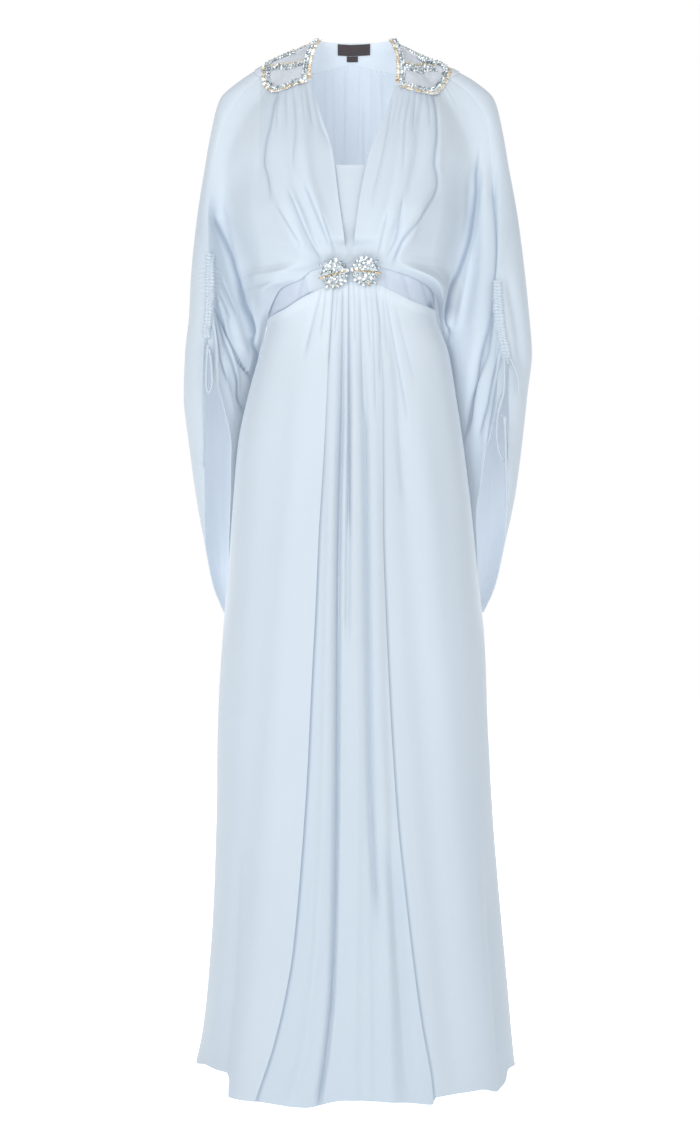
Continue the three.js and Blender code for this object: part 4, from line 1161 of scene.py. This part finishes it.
def makeBack(side, name):
    points, station, z = backGrid(side)
    partEdge(points[:, -1:], z[:, -1:], 1)
    outward = facingOut(side, station, z)
    tone = backs["tone"] + backs["lowerTone"] * under(z, -120, 300)
    fold = troughShade(fineBack[side], clothLine(side, station, z)[0], z) * over(station, 1.75, 0.3)
    # Painted glow on the inner face, full at the centre back above the waist.
    inner = mix(sleeveInnerGlow, 1, over(station, 2.3, 0.3) * over(z, -330, 30))
    made = clothShell("cloth_" + name, points, outward, backs["wall"], tone, chiffon, fold, 0.0, inner)
    finishCloth(made, name)


makeBack(left, "back_left")
makeBack(right, "back_right")
print("backs draped")


def forward(points):
    return np.broadcast_to([0.0, -1.0, 0.0], points.shape)


def radial(points):  # away from the middle of the body
    return points * [1.0, 1.0, 0.0]


neckPieces = {
    "wall": 1.0, "yokeColumns": 120, "yokeRows": 18, "yokeHem": 0.7, "yokeSeam": 0.5,
    "insertTop": -185, "insertFoot": -318, "insertMargin": 9, "insertHem": 0.8, "insertCrown": 2.2,
    "overBand": 2.1, "tapeGap": 3.3, "tapeCurl": 0.35, "tapeWall": 0.5,
}


def makeBackYoke():
    u, v = grid(neckPieces["yokeColumns"], neckPieces["yokeRows"])
    halves = []
    along = np.where(u < 0.5, u * 2, 2 - u * 2)
    z = mix(backYokeEdge(along), mix(neckTop - 2.5, neckTop + 3.5, smooth(along)), v)
    lip = neckPieces["yokeHem"] * np.exp(-((1 - v) * 24 / 2.5) ** 2)
    lip += neckPieces["yokeSeam"] * np.exp(-(v * 24 / 2.5) ** 2)
    for side in (left, right):
        halves.append(drape(side, mix(1.5, 3, along), z, lip))
    points = np.where((u < 0.5)[..., None], halves[0], halves[1])
    outward = radial(points - [0, 10.0, 0])
    made = clothShell("cloth_back_yoke", points, outward, neckPieces["wall"], 0.75, chiffon)
    finishCloth(made, "back_yoke")


def makeTape(name, low, high, bulge):
    u, v = grid(40, 18)
    x, z = mix(low[0], high[0], u), mix(low[1], high[1], v)
    rear = {side: curveAcross(*section(side, z)["rear"], np.abs(x)) for side in (left, right)}
    behind = np.where(x < 0, rear[left], rear[right])
    curl = np.exp(-(u * 12) ** 2) + np.exp(-((1 - u) * 12) ** 2) + np.exp(-((1 - v) * 9) ** 2)
    away = neckPieces["tapeGap"] + neckPieces["tapeCurl"] * curl + bulge * np.sin(u * math.pi) * v
    points = np.stack([x, behind - away, z], -1)
    made = clothShell("tape_" + name, points, forward(points), neckPieces["tapeWall"], 0.5, tapeWeave)
    finishCloth(made, name)


def makeInsert():
    u, v = grid(40, 50)
    z = mix(neckPieces["insertTop"], neckPieces["insertFoot"], v)
    low = -(sleeves[left]["edge"](z) + neckPieces["insertMargin"])
    high = sleeves[right]["edge"](z) + neckPieces["insertMargin"]
    lip = neckPieces["insertHem"] * np.exp(-((neckPieces["insertTop"] - z) / 3) ** 2)
    crown = neckPieces["insertCrown"] * np.sin(u * math.pi) * (1 - v)
    overBand = -ring["front"](z) - neckPieces["overBand"]
    behind = mix(depths["edge"](z) + 6, overBand, under(z, -262, 26))
    points = np.stack([mix(low, high, u), behind - lip - crown, z], -1)
    made = clothShell("cloth_neck_insert", points, forward(points), neckPieces["wall"], 0.9, slipCrepe)
    finishCloth(made, "neck_insert")


makeBackYoke()
makeTape("neck_label", (-19, 6), (27.5, 21), 0.3)
makeTape("size_tab", (-6, -2), (10, 5.4), 0.1)
makeInsert()
print("neck pieces made")

bands = {
    "columns": 90, "rows": 26, "backColumns": 120, "wall": 1.0, "rise": 8, "sideRise": 1.5, "riseReach": 38,
    "seam": -0.7, "bow": 0.8, "tone": 0.2, "litTone": 0.6, "seamShadow": 1.4, "pocketShadeDepth": 1.6, "glow": 0.3,
}
bandFolds = foldsFrom([
    ([[-64, -322], [-74, -362]], -1.4, 4, 2.4, 20),
    ([[-46, -312], [-50, -360]], -1.1, 3, 2.4, 30),
    ([[-36, -312], [-38, -360]], 0.9, 3, 3, 30),
    ([[46, -318], [52, -360]], -1.1, 2.6, 4, 30),
    ([[70, -322], [84, -366]], -1, 3, 6, 30),
    ([[100, -336], [112, -372]], -2, 4, 5, 20),
])


def wrapped(deg):
    return np.where(deg < -180, deg + 360, deg)


# How high the skirt lies over the band: most at the centre, little at the sides.
def skirtTop(deg):
    centre = np.exp(-(deg / bands["riseReach"]) ** 4)
    return bandEdges["bottom"](deg) + mix(bands["sideRise"], bands["rise"], centre)


def makeBand(name, first, last, count):
    u, v = grid(count, bands["rows"])
    deg = wrapped(mix(first, last, u))
    z = mix(bandEdges["top"](deg), bandEdges["bottom"](deg), v)
    side = np.where(deg < 0, left, right)
    turn = np.abs(deg)
    w = ringPoint(side, turn, z)[0]
    atFront = under(turn, 100, 12)
    seam = bands["seam"] * np.exp(-(np.minimum(v, 1 - v) * 46 / 2.2) ** 2)
    bow = bands["bow"] * np.sin(v * math.pi)
    w, y = ringPoint(side, turn, z, atFront * foldHeight(bandFolds, side * w, z) + seam + bow)
    points = np.stack([side * w, y, z], -1)
    x = points[..., 0]
    slant = -66 - (z + 330) * 0.25  # painted light and shade: the band lighter right of this slanting line, darker left of it
    tone = bands["tone"] + bands["litTone"] * smooth((x - slant) / 5) * under(x, 60, 60) * atFront
    # Painted shadow: a thin dark line under the skirt's gathered top, on the left front.
    seamShadowLine = under(x, -48, 8) * over(x, -122, 20) * atFront
    fold = bands["seamShadow"] * seamShadowLine * np.exp(-((z - skirtTop(deg) - 1.5) / 1.4) ** 2)
    shadedPocket = np.exp(-((x - 112) / 5) ** 2 - ((z + 371) / 9) ** 2)  # painted shade, under the right sleeve
    fold = fold + bands["pocketShadeDepth"] * shadedPocket * atFront
    # Painted light: the upper band glows, against the shade under the bodice.
    lit = bands["glow"] * (1 - smooth(v / 0.6)) * atFront
    made = clothShell("cloth_" + name, points, radial(points), bands["wall"], tone, bandCrepe, fold, lit)
    finishCloth(made, name)


makeBand("band_left", -89.9, -0.2, bands["columns"])
makeBand("band_right", 0.2, 89.9, bands["columns"])
makeBand("band_back", -90.1, -269.9, bands["backColumns"])
print("waistband made")

skirt = {
    "wall": 0.9, "lap": 16, "lapLift": 2.4, "lapStart": 0.5, "waist": 0.4, "overBand": 1.9,
    "glow": 0.2, "sideGlow": 0.42, "tone": 0.62, "upperLight": 0.3, "lowerTone": -0.2, "centreTone": -0.15,
    "shadowWidth": 1.7, "shadowTop": 0.2, "shadowMore": 0.6,
}


def skirtGrid(firstAngle, lastAngle, cols, rows, lift, crowd):
    u, v = grid(cols, rows)
    v = v ** 1.15
    share = crowd(u)
    start = mix(firstAngle(np.full_like(u, -356)), lastAngle(np.full_like(u, -356)), share)
    z = mix(skirtTop(wrapped(start)), hemLevel, v)
    deg = wrapped(mix(firstAngle(z), lastAngle(z), share))
    z = z + (hemLine(deg) - hemLevel) * over(v, 0.8, 0.2)
    top = bandEdges["bottom"](deg)

    def fine(x, z, deg):
        turn = np.abs(deg)
        begun = mix(0.28, 0.8, smooth((top + 2 - z) / 90))
        total = under(turn, 94, 8) * begun * foldHeight(fineSkirt, x, z)
        grown = under(z, -400, 700) * over(turn, 96, 10)
        for angle, depth, width in backFineFlutes:
            total += depth * grown * np.exp(-((deg - angle) / width) ** 2)
        nearWaist = np.exp(-np.clip(top - z, 0, 400) / 15)
        ripple = np.sin(x * 0.9 + 1.2 * np.sin(x * 0.23)) * under(np.abs(x), 72, 30) * (turn < 90)
        total += skirt["waist"] * nearWaist * ripple
        total += hemRoll["height"] * np.exp(-((1 - v) * 1000 / hemRoll["width"]) ** 2)
        total += skirt["overBand"] * smooth((z - top + 9) / 9)
        return total

    lapped = skirt["lapLift"] * mix(skirt["lapStart"], 1, under(z, -380, 320))
    return skirtLine(deg, z, lift(share) * lapped, fine), z, deg


def makeSkirt(name, firstAngle, lastAngle, cols, rows, lift=lambda u: 0 * u, crowd=lambda u: u):
    points, z, deg = skirtGrid(firstAngle, lastAngle, cols, rows, lift, crowd)
    x, turn = points[..., 0], np.abs(deg)
    tone = skirt["tone"] + skirt["lowerTone"] * under(z, -760, 500)
    # Painted light: the upper skirt lighter, against the shade under the bust.
    tone += skirt["upperLight"] * over(z, -700, 300)
    if name == "skirt_front_centre":
        tone += skirt["centreTone"]
    shadow = 0
    lap = {"skirt_front_centre": lapLeft, "skirt_front_right": lapRight}.get(name)
    if lap is not None:  # the panel that laps over it throws a thin shadow
        shadow = np.exp(-((x - lap(z) - 1.2) / skirt["shadowWidth"]) ** 2)
        shadow *= skirt["shadowTop"] + skirt["shadowMore"] * under(z, -420, 400)
    fold = (troughShade(fineSkirt, x, z) + shadow) * under(turn, 90, 6)
    # Painted light: the upper front of the skirt glows, against the shade under the bust.
    glow = skirt["glow"] * over(z, -500, 130) * under(turn, 70, 30)
    # Painted light: the sides glow where the sleeves hang close beside the hips and shade them.
    beside = over(turn, 62, 20) * under(turn, 125, 15)
    glow = glow + skirt["sideGlow"] * beside * over(z, -860, 80)
    made = clothShell("cloth_" + name, points, radial(points), skirt["wall"], tone, chiffon, fold, glow)
    finishCloth(made, name)


def frontSeam(z):
    return 90 - np.degrees(np.arcsin((0.15 / ring["front"](z)) ** (1 / ring["square"](z))))


def backSeam(z):
    return 90 + np.degrees(np.arcsin(0.15 / ring["back"](z)))


makeSkirt(
    "skirt_front_left", lambda z: -frontSeam(z), lambda z: frontAngle(lapLeft(z), z), 90, 130,
    lambda u: over(u, 0.55, 0.3), lambda u: 1 - (1 - u) ** 1.4)
makeSkirt(
    "skirt_front_centre", lambda z: frontAngle(lapLeft(z) - skirt["lap"], z),
    lambda z: frontAngle(lapRight(z), z), 150, 140)
makeSkirt(
    "skirt_front_right", lambda z: frontAngle(lapRight(z) - skirt["lap"], z), frontSeam, 96, 130,
    lambda u: over(u, 0.18, 0.3) - 1, lambda u: u ** 1.5)
makeSkirt(
    "skirt_back", lambda z: -backSeam(z), lambda z: backSeam(z) - 360, 180, 110)
print("skirt hung")


# Small things set on points: each one turns to its surface and along its row.
def pointTree():
    tree = bpy.data.node_groups.new("setOnPoints", "GeometryNodeTree")
    sockets = {
        "Points": "Geometry", "Radius": "Float", "Depth": "Float", "Table": "Float", "Turn": "Float",
        "Tilt": "Float", "Sides": "Int", "Seed": "Int", "Finish": "Material"}
    for label, kind in sockets.items():
        tree.interface.new_socket(label, in_out="INPUT", socket_type="NodeSocket" + kind)
    tree.interface.new_socket("Set", in_out="OUTPUT", socket_type="NodeSocketGeometry")
    entry = tree.nodes.new("NodeGroupInput")
    given = {label: Wire(tree, entry.outputs[label]) for label in sockets}
    start = Wire(tree)

    def named(label):
        return start.make("GeometryNodeInputNamedAttribute", {"data_type": "FLOAT_VECTOR"}, {"Name": label})

    def spread(x, y, z):
        return start.make("ShaderNodeCombineXYZ", None, {0: x, 1: y, 2: z})

    stone = start.make("GeometryNodeMeshCone", {"fill_type": "NGON"}, {
        "Vertices": given["Sides"], "Radius Top": given["Radius"] * given["Table"],
        "Radius Bottom": given["Radius"], "Depth": given["Depth"]})
    stone = start.make("GeometryNodeTransform", None, {
        "Geometry": stone, "Rotation": spread(0, 0, given["Turn"])})
    facing = start.make("FunctionNodeAxesToRotation", {"primary_axis": "Z", "secondary_axis": "X"}, {
        "Primary Axis": named("facing"), "Secondary Axis": named("along")})
    tilt = given["Tilt"]
    rocked = start.make("FunctionNodeRandomValue", {"data_type": "FLOAT_VECTOR"}, {
        0: spread(0 - tilt, 0 - tilt, 0 - tilt), 1: spread(tilt, tilt, tilt), 8: given["Seed"]})
    rocked = start.make("FunctionNodeEulerToRotation", None, {0: rocked})
    facing = start.make("FunctionNodeRotateRotation", {"rotation_space": "LOCAL"}, {0: facing, 1: rocked})
    placed = start.make("GeometryNodeInstanceOnPoints", None, {
        "Points": given["Points"], "Instance": stone, "Rotation": facing, "Scale": named("size")})
    shade = start.make("FunctionNodeRandomValue", {"data_type": "FLOAT"}, {
        2: 0.0, 3: 1.0, 8: given["Seed"] + 7}, 1)
    placed = start.make("GeometryNodeStoreNamedAttribute", {"data_type": "FLOAT", "domain": "INSTANCE"}, {
        "Geometry": placed, "Name": "shade", "Value": shade})
    placed = start.make("GeometryNodeRealizeInstances", None, {"Geometry": placed})
    placed = start.make("GeometryNodeSetMaterial", None, {"Geometry": placed, "Material": given["Finish"]})
    tree.links.new(placed.socket, tree.nodes.new("NodeGroupOutput").inputs[0])
    return tree


setOnPoints = pointTree()


# Spots hold place in millimetres, facing, along and size, one row for each thing.
def setStones(name, spots, look):
    spots = [np.concatenate(column) for column in zip(*spots)]
    mesh = bpy.data.meshes.new(name)
    mesh.vertices.add(len(spots[0]))
    mesh.vertices.foreach_set("co", (spots[0] * mm).ravel())
    for label, values in zip(("facing", "along", "size"), spots[1:]):
        mesh.attributes.new(label, "FLOAT_VECTOR", "POINT").data.foreach_set("vector", values.ravel())
    made = newObject(name, mesh, None)
    growing = made.modifiers.new("stones", "NODES")
    growing.node_group = setOnPoints
    for item in setOnPoints.interface.items_tree:
        if item.in_out == "INPUT" and item.name in look:
            growing[item.identifier] = look[item.name]
    bpy.context.view_layer.update()
    graph = bpy.context.evaluated_depsgraph_get()
    baked = bpy.data.meshes.new_from_object(made.evaluated_get(graph))
    made.modifiers.clear()
    made.data = baked
    finishTrim(made, [])
    print(name, len(spots[0]), "set")
    return made


# Each cut: radius and depth in millimetres, share of the flat top, sides, turn, tilt and seed.
cuts = {
    "round": (1, 0.95, 0.52, 8, 0.39, 0.2, 3),
    "oblong": (math.sqrt(2), 0.9, 0.6, 4, math.pi / 4, 0.12, 5),
    "seed": (1, 1.1, 0.45, 6, 0.0, 0.35, 8),
    "stitch": (1, 0.8, 0.5, 6, 0.0, 0.1, 11),
}


def cutOf(kind, paint, seed):
    radius, depth, table, sides, turn, tilt, ownSeed = cuts[kind]
    return {
        "Radius": radius * mm, "Depth": depth * mm, "Table": table, "Sides": sides, "Turn": turn,
        "Tilt": tilt, "Seed": ownSeed + seed, "Finish": paint,
    }


# Even places along a line that lies on a surface, moved aside and out.
def rowOf(line, facing, shift, pitch, size, lift, start=0.5):
    along = unit(np.gradient(line, axis=0))
    line = line + np.cross(facing, along) * shift + facing * lift
    run = runOf(line)
    at = np.arange(pitch * start, run[-1], pitch)
    parts = []
    for values in (line, facing, along):
        parts.append(np.stack([np.interp(at, run, values[:, k]) for k in range(3)], -1))
    uneven = 1 + 0.13 * np.sin(at * 5.1 + shift * 3)
    return (*parts, uneven[:, None] * np.broadcast_to(np.array(size, float), parts[0].shape))


def yokeSurface(side, u, v):
    def spot(u, v):
        return drape(side, u * 1.5, mix(yokeEdge[side](u), neckTop - 2.5, v))

    slope = unit(np.cross(spot(u + 0.004, v) - spot(u - 0.004, v), spot(u, v + 0.01) - spot(u, v - 0.01)))
    return spot(u, v), slope * np.sign((slope * [0, -1, 0.6]).sum(-1, keepdims=True))


# Rows of stones on the yokes, as shares of the width (from the neck) and of the height.
yokePaths = {
    left: {
        "neck": [(0.035, 0.985), (0.04, 0.7), (0.04, 0.35), (0.04, 0.03)],
        "bottom": [(0.05, 0.035), (0.2, 0.03), (0.333, 0.035), (0.443, 0.06), (0.6, 0.08), (0.73, 0.145),
                   (0.8, 0.2)],
        "outer": [(0.81, 0.2), (0.84, 0.3), (0.81, 0.45), (0.76, 0.6)],
        "top": [(0.76, 0.6), (0.78, 0.75), (0.88, 0.9)],
        "upperBand": [(0.08, 0.44), (0.187, 0.453), (0.387, 0.46), (0.593, 0.33), (0.7, 0.22)],
        "lowerBand": [(0.08, 0.37), (0.133, 0.375), (0.303, 0.4), (0.483, 0.34), (0.65, 0.19)],
    },
    right: {
        "neck": [(0.03, 0.985), (0.035, 0.7), (0.035, 0.35), (0.035, 0.03)],
        "bottom": [(0.05, 0.03), (0.293, 0.035), (0.393, 0.04), (0.487, 0.05), (0.657, 0.06), (0.747, 0.11),
                   (0.8, 0.16)],
        "outer": [(0.81, 0.16), (0.82, 0.27), (0.74, 0.37), (0.707, 0.497)],
        "top": [(0.707, 0.497), (0.727, 0.67), (0.6, 0.793)],
        "upperBand": [(0.08, 0.427), (0.26, 0.47), (0.543, 0.363), (0.713, 0.24)],
        "lowerBand": [(0.077, 0.33), (0.197, 0.365), (0.39, 0.335), (0.65, 0.18)],
    },
}
# What each row carries: path, kind, sideways shift, pitch, half length, half width, first gap.
yokeRows = [
    ("neck", "gold", 2.2, 6.2, 2.8, 2.5, 0.5),
    ("neck", "clear", -2.5, 5.2, 2.7, 2.7, 0.5),
    ("neck", "small", -6.1, 3.6, 1.7, 1.7, 0.5),
    ("bottom", "gold", 3.0, 10.4, 4.1, 2.6, 0.7),
    ("bottom", "clear", 3.0, 10.4, 1.7, 2.4, 0.2),
    ("bottom", "clear", -1.9, 4.9, 2.6, 2.6, 0.5),
    ("bottom", "small", -5.4, 3.5, 1.6, 1.6, 0.5),
    ("outer", "clear", 2.4, 5.1, 2.8, 2.7, 0.5),
    ("outer", "clear", -2.6, 4.9, 2.6, 2.5, 0.8),
    ("outer", "seed", 5.2, 7.4, 1.2, 1.2, 0.5),
    ("outer", "small", -5.8, 3.7, 1.6, 1.6, 0.5),
    ("top", "clear", 0, 4.6, 1.9, 1.9, 0.5),
    ("top", "seed", 2.8, 4.6, 1.2, 1.1, 0.5),
    ("upperBand", "clear", 1.8, 5.2, 2.7, 2.6, 0.5),
    ("upperBand", "gold", -2.6, 8.6, 2.9, 1.9, 0.9),
    ("upperBand", "small", -2.6, 8.6, 1.7, 1.7, 0.35),
    ("lowerBand", "clear", -0.2, 5.0, 2.5, 2.4, 0.5),
    ("lowerBand", "small", -3.6, 3.5, 1.3, 1.3, 0.5),
]
# One mesh for each kind of stone: name, kind, cut, material, seed and slot.
yokeStones = [
    ("stones_", "clear", "round", crystal, 0, "crystal"),
    ("gold_", "gold", "oblong", champagne, 0, "champagne"),
    ("chips_", "small", "round", crystal, 4, "crystal"),
    ("seeds_", "seed", "seed", setting, 0, "setting"),
]
yokeNet = {
    left: {"name": "yoke_left", "flat": (0.095, 0.105), "area": 0.0085},
    right: {"name": "yoke_right", "flat": (0.10, 0.11), "area": 0.0095},
    "columns": 64, "rows": 52, "wall": 0.7, "lift": 0.7, "pad": 0.9, "weave": 0.12, "stoneLift": 1.2,
    "rise": {"neck": 0.5, "bottom": 0.5, "outer": 0.3, "top": -1.2},
}


def makeYoke(side):
    look = yokeNet[side]
    u, v = np.meshgrid(np.linspace(0, 0.996, yokeNet["columns"]), np.linspace(0, 1, yokeNet["rows"]))
    place, facing = yokeSurface(side, u, v)
    rim = np.maximum(under(u, 0.1, 0.06), under(v, 0.13, 0.08))
    weave = yokeNet["weave"] * np.sin(u * 150) * np.sin(v * 130)
    points = place + facing * (yokeNet["lift"] + yokeNet["pad"] * rim + weave * (1 - rim))[..., None]
    frame = [(v, u) for u, v in yokePaths[side]["outer"] + yokePaths[side]["top"][1:]]
    past = smooth((u - curveThrough(*zip(*frame))(v)) / 0.03 - 0.6)
    sheet = clothShell("net_" + look["name"], points, facing, yokeNet["wall"], past, net)
    lines = {}
    for name, path in yokePaths[side].items():
        flat = smoothLine(path, 160)[0]
        lines[name] = yokeSurface(side, flat[:, 0], flat[:, 1])
    spots = {"gold": [], "clear": [], "small": [], "seed": []}
    for name, kind, shift, pitch, long, wide, start in yokeRows:
        lift = yokeNet["stoneLift"] + yokeNet["rise"].get(name, 0)
        spots[kind].append(rowOf(*lines[name], -side * shift, pitch, (long, wide, 1.7), lift, start))
    seeds = 20 * (side + 1)
    for label, kind, cut, paint, seed, slot in yokeStones:
        setStones(label + look["name"], spots[kind], cutOf(cut, paint, seeds + seed))
    finishCloth(sheet, look["name"])


makeYoke(left)
makeYoke(right)
print("yokes beaded")

# One half of the clasp seen from the front, in millimetres outward and up from its middle.
clasp = {
    left: {"name": "clasp_left", "centre": (-23.6, -108, -334), "turn": -0.06},
    right: {"name": "clasp_right", "centre": (19.8, -108, -330), "turn": 0.1},
    "lean": 0.25, "radius": 16.5, "scale": 1.06, "wall": 1.6, "dome": 2.6, "domeReach": 21, "lobes": 9,
    "grid": 29,
}
# Rays of the fan: angle up from straight out, inner end, length, half width, kind.
claspRays = [
    (58, 11, 8.6, 2.4, "bright"),
    (36, 14.5, 7, 1.2, "grey"),
    (20, 10.5, 5.2, 1.9, "clear"),
    (7, 15, 4.4, 1.4, "grey"),
    (-12, 10, 10, 1.9, "gold"),
    (-34, 11, 5, 2, "clear"),
    (-56, 14.5, 7.5, 1.3, "grey"),
    (-82, 11.5, 7, 1.2, "gold"),
    (-106, 12.5, 4.2, 1.7, "gold"),
]
# Rings of round stones: distance from the middle, first and last angle, count, radius.
claspRings = [
    (5.4, 42, 146, 3, 3.1),
    (5.4, -148, -42, 3, 2.9),
    (11.4, 34, 160, 5, 3.3),
    (10.9, -166, -26, 6, 2.9),
    (17.0, 80, 168, 5, 3.0),
    (16.4, -170, -104, 4, 2.8),
]
# One mesh for each kind again.
claspStones = [
    ("stones_", "clear", "round", crystal, 0, "crystal"),
    ("glints_", "bright", "round", crystalGlints, 0, "crystal"),
    ("bugles_", "grey", "oblong", crystal, 2, "crystal"),
    ("gold_", "gold", "oblong", champagne, 1, "champagne"),
    ("bar_", "bar", "oblong", setting, 0, "setting"),
    ("claws_", "claw", "seed", silver, 0, "setting"),
]
claspBar = {
    "pieces": (5.2, -1.8, -8.8, -14.6), "lengths": (3.1, 3.5, 3.2, 2.1), "slope": -0.19, "width": 1.15,
}


def makeClasp(side):
    look = clasp[side]
    lean = clasp["lean"]
    out, up = np.array([side, 0, 0.0]), np.array([0, -lean, 1.0])
    facing = unit(np.array([0, -1.0, -lean]))

    def spot(x, y, lift):
        swing, scale = look["turn"], clasp["scale"]
        x, y = x * scale, y * scale
        x, y = x * math.cos(swing) - y * math.sin(swing), x * math.sin(swing) + y * math.cos(swing)
        dome = clasp["dome"] * np.clip(1 - (x * x + y * y) / clasp["domeReach"] ** 2, 0, 1)
        flat = look["centre"] + np.multiply.outer(x, out) + np.multiply.outer(y, up)
        return flat + np.multiply.outer(dome + lift, facing)

    def stone(x, y, turn, size, lift=0.0):
        aim = math.cos(turn) * out + math.sin(turn) * unit(up)
        return (spot(x, y, lift)[None], facing[None], aim[None], np.array([size], float))

    u, v = grid(clasp["grid"], clasp["grid"], -1)
    x, y = u * np.sqrt(1 - v * v / 2), v * np.sqrt(1 - u * u / 2)  # a square grid drawn into a disc
    reach = clasp["radius"] * (1 + 0.05 * np.cos(clasp["lobes"] * np.arctan2(y, x)))
    points = spot(x * reach, y * reach, -1.0 * (np.hypot(x, y) > 0.95))
    outward = np.broadcast_to(facing, points.shape)
    plate = clothShell("plate_" + look["name"], points, outward, clasp["wall"], 0.5, silver)
    finishTrim(plate, [look["name"]])
    spots = {"clear": [], "bright": [], "grey": [], "gold": [], "bar": [], "claw": []}
    for angle, inner, length, wide, kind in claspRays:
        a, r = math.radians(angle), inner + length / 2
        spots[kind].append(stone(r * math.cos(a), r * math.sin(a), a, (length / 2, wide, 2.4), 0.3))
        for end in (inner, inner + length):
            spots["claw"].append(stone(end * math.cos(a), end * math.sin(a), a, (0.8, 0.8, 1.8), 0.8))
    for ringReach, first, last, count, radius in claspRings:
        for k in range(count):
            a = math.radians(first + (last - first) * k / (count - 1))
            r = ringReach + 0.5 * math.sin(k * 2.3)
            size = radius * (1 + 0.12 * math.sin(k * 4.1 + ringReach))
            # Every third ring stone gets painted highlights.
            kind = "bright" if k % 3 == 1 else "clear"
            spots[kind].append(stone(r * math.cos(a), r * math.sin(a), a, (size, size, 2.6), 0.2))
            claw = a + 2.3 / ringReach
            x, y = (r + 1) * math.cos(claw), (r + 1) * math.sin(claw)
            spots["claw"].append(stone(x, y, a, (0.6, 0.6, 2), 1))
    for x, half in zip(claspBar["pieces"], claspBar["lengths"]):
        slope = claspBar["slope"]
        spots["bar"].append(stone(x, x * slope + 0.3, slope, (half, claspBar["width"], 2.6), 1.6))
    seeds = 60 + 20 * (side + 1)
    for label, kind, cut, paint, seed, slot in claspStones:
        setStones(label + look["name"], spots[kind], cutOf(cut, paint, seeds + seed))


makeClasp(left)
makeClasp(right)
print("clasp set")

# Drawstring channels: a casing drawn up short, with stitches down both edges and the middle.
channel = {
    left: {"name": "channel_left", "width": 10, "flat": (0.017, 0.135), "area": 0.0020},
    right: {"name": "channel_right", "width": 13, "flat": (0.017, 0.14), "area": 0.0019},
    "columns": 22, "rows": 200, "wall": 0.9, "lift": 2.9, "tunnel": 1.1, "gather": 0.75, "pitch": 4.3,
    "stitchPitch": 2.3, "stitchIn": 0.1, "past": 6, "wander": 0.5,
}


def channelSurface(side, u, v):
    look = channel[side]
    line, high, low = fronts["channel"][side]
    z = mix(low - channel["past"], high + channel["past"], v)
    spread = (u - 0.5) * look["width"]
    tunnels = np.abs(np.sin(u * 2 * math.pi))
    phase = 2 * math.pi * (z / channel["pitch"] + 0.3 * np.sin(z / 7 + u * 3) + 0.25 * (u > 0.5))
    drawn = channel["gather"] * np.sin(phase) * (0.4 + 0.6 * tunnels)
    push = channel["lift"] + channel["tunnel"] * tunnels + drawn
    wander = channel["wander"] * np.sin(z / 3.1) * (2 * np.abs(u - 0.5))
    return drape(side, frontStation(side, line(z) + spread + wander, z), z, push)


def makeChannel(side):
    look = channel[side]
    u, v = grid(channel["columns"], channel["rows"])
    points = channelSurface(side, u, v)
    casing = clothShell("casing_" + look["name"], points, forward(points), channel["wall"], 0.5, chiffon)
    rows = []
    for share in (channel["stitchIn"], 0.5, 1 - channel["stitchIn"]):
        line = channelSurface(side, np.full(240, share), np.linspace(0.01, 0.99, 240))
        rows.append(rowOf(line, np.broadcast_to([side * 0.1, -0.99, 0.0], line.shape), 0,
                          channel["stitchPitch"], (0.85, 0.34, 0.4), 0.05))
    sewn = setStones("stitches_" + look["name"], rows, cutOf("stitch", sewing, side))
    finishCloth(casing, look["name"])


makeChannel(left)
makeChannel(right)
print("channels drawn up")

stageLook = {"floor": -1.452, "reach": 9.0, "backdrop": 1.0, "ambient": 0.65}
world = bpy.data.worlds.new("studio")
world.use_nodes = True
backdrop = world.node_tree.nodes["Background"].inputs
backdrop["Color"].default_value = (1, 1, 1, 1)
seen = Wire(world.node_tree).make("ShaderNodeLightPath")  # the white backdrop lights less than it shows
glow = seen * (stageLook["backdrop"] - stageLook["ambient"]) + stageLook["ambient"]
world.node_tree.links.new(glow.socket, backdrop["Strength"])
bpy.context.scene.world = world
bpy.context.scene.view_settings.view_transform = "Standard"


def floorPaint(start):
    mottle = start.make("ShaderNodeTexNoise", None, {"Vector": start.place(), "Scale": 3.0, "Detail": 2.0})
    return {"Base Color": mottle.colours(rgb(250, 250, 250), rgb(253, 253, 253))}


floorMesh = bpy.data.meshes.new("floor")
reach = stageLook["reach"]
ringTurns = [2 * math.pi * k / 64 for k in range(64)]
floorRim = [(reach * math.cos(a), reach * math.sin(a), stageLook["floor"]) for a in ringTurns]
floorMesh.from_pydata(floorRim, [], [tuple(range(64))])
floor = newObject("floor", floorMesh, material(
    "paleFloor", {"Roughness": 0.9, "Emission Color": (1, 1, 1, 1), "Emission Strength": 0.5}, floorPaint))

# Each soft light: place, size, power and the height it aims at.
lamps = {
    "key": ((-1.3, -4.0, 0.5), 2.2, 73, -0.6),
    "fill": ((1.7, -4.0, -0.7), 2.4, 22, -0.7),
    "rearKey": ((1.4, 4.0, 0.5), 2.4, 60, -0.6),
    "rearFill": ((-1.8, 3.8, -0.6), 2.4, 30, -0.7),
    "top": ((0.0, 0.4, 2.4), 2.0, 10, -0.4),
}
for name, (place, size, power, aim) in lamps.items():
    lamp = bpy.data.lights.new(name, "AREA")
    lamp.shape = "DISK"
    lamp.size = size
    lamp.energy = power
    made = bpy.data.objects.new(name, lamp)
    made.location = place
    toward = np.array([0, 0, aim]) - place
    made.rotation_euler = (
        math.acos(-toward[2] / np.linalg.norm(toward)), 0, math.atan2(toward[1], toward[0]) - math.pi / 2)
    bpy.context.scene.collection.objects.link(made)
print("lights set")
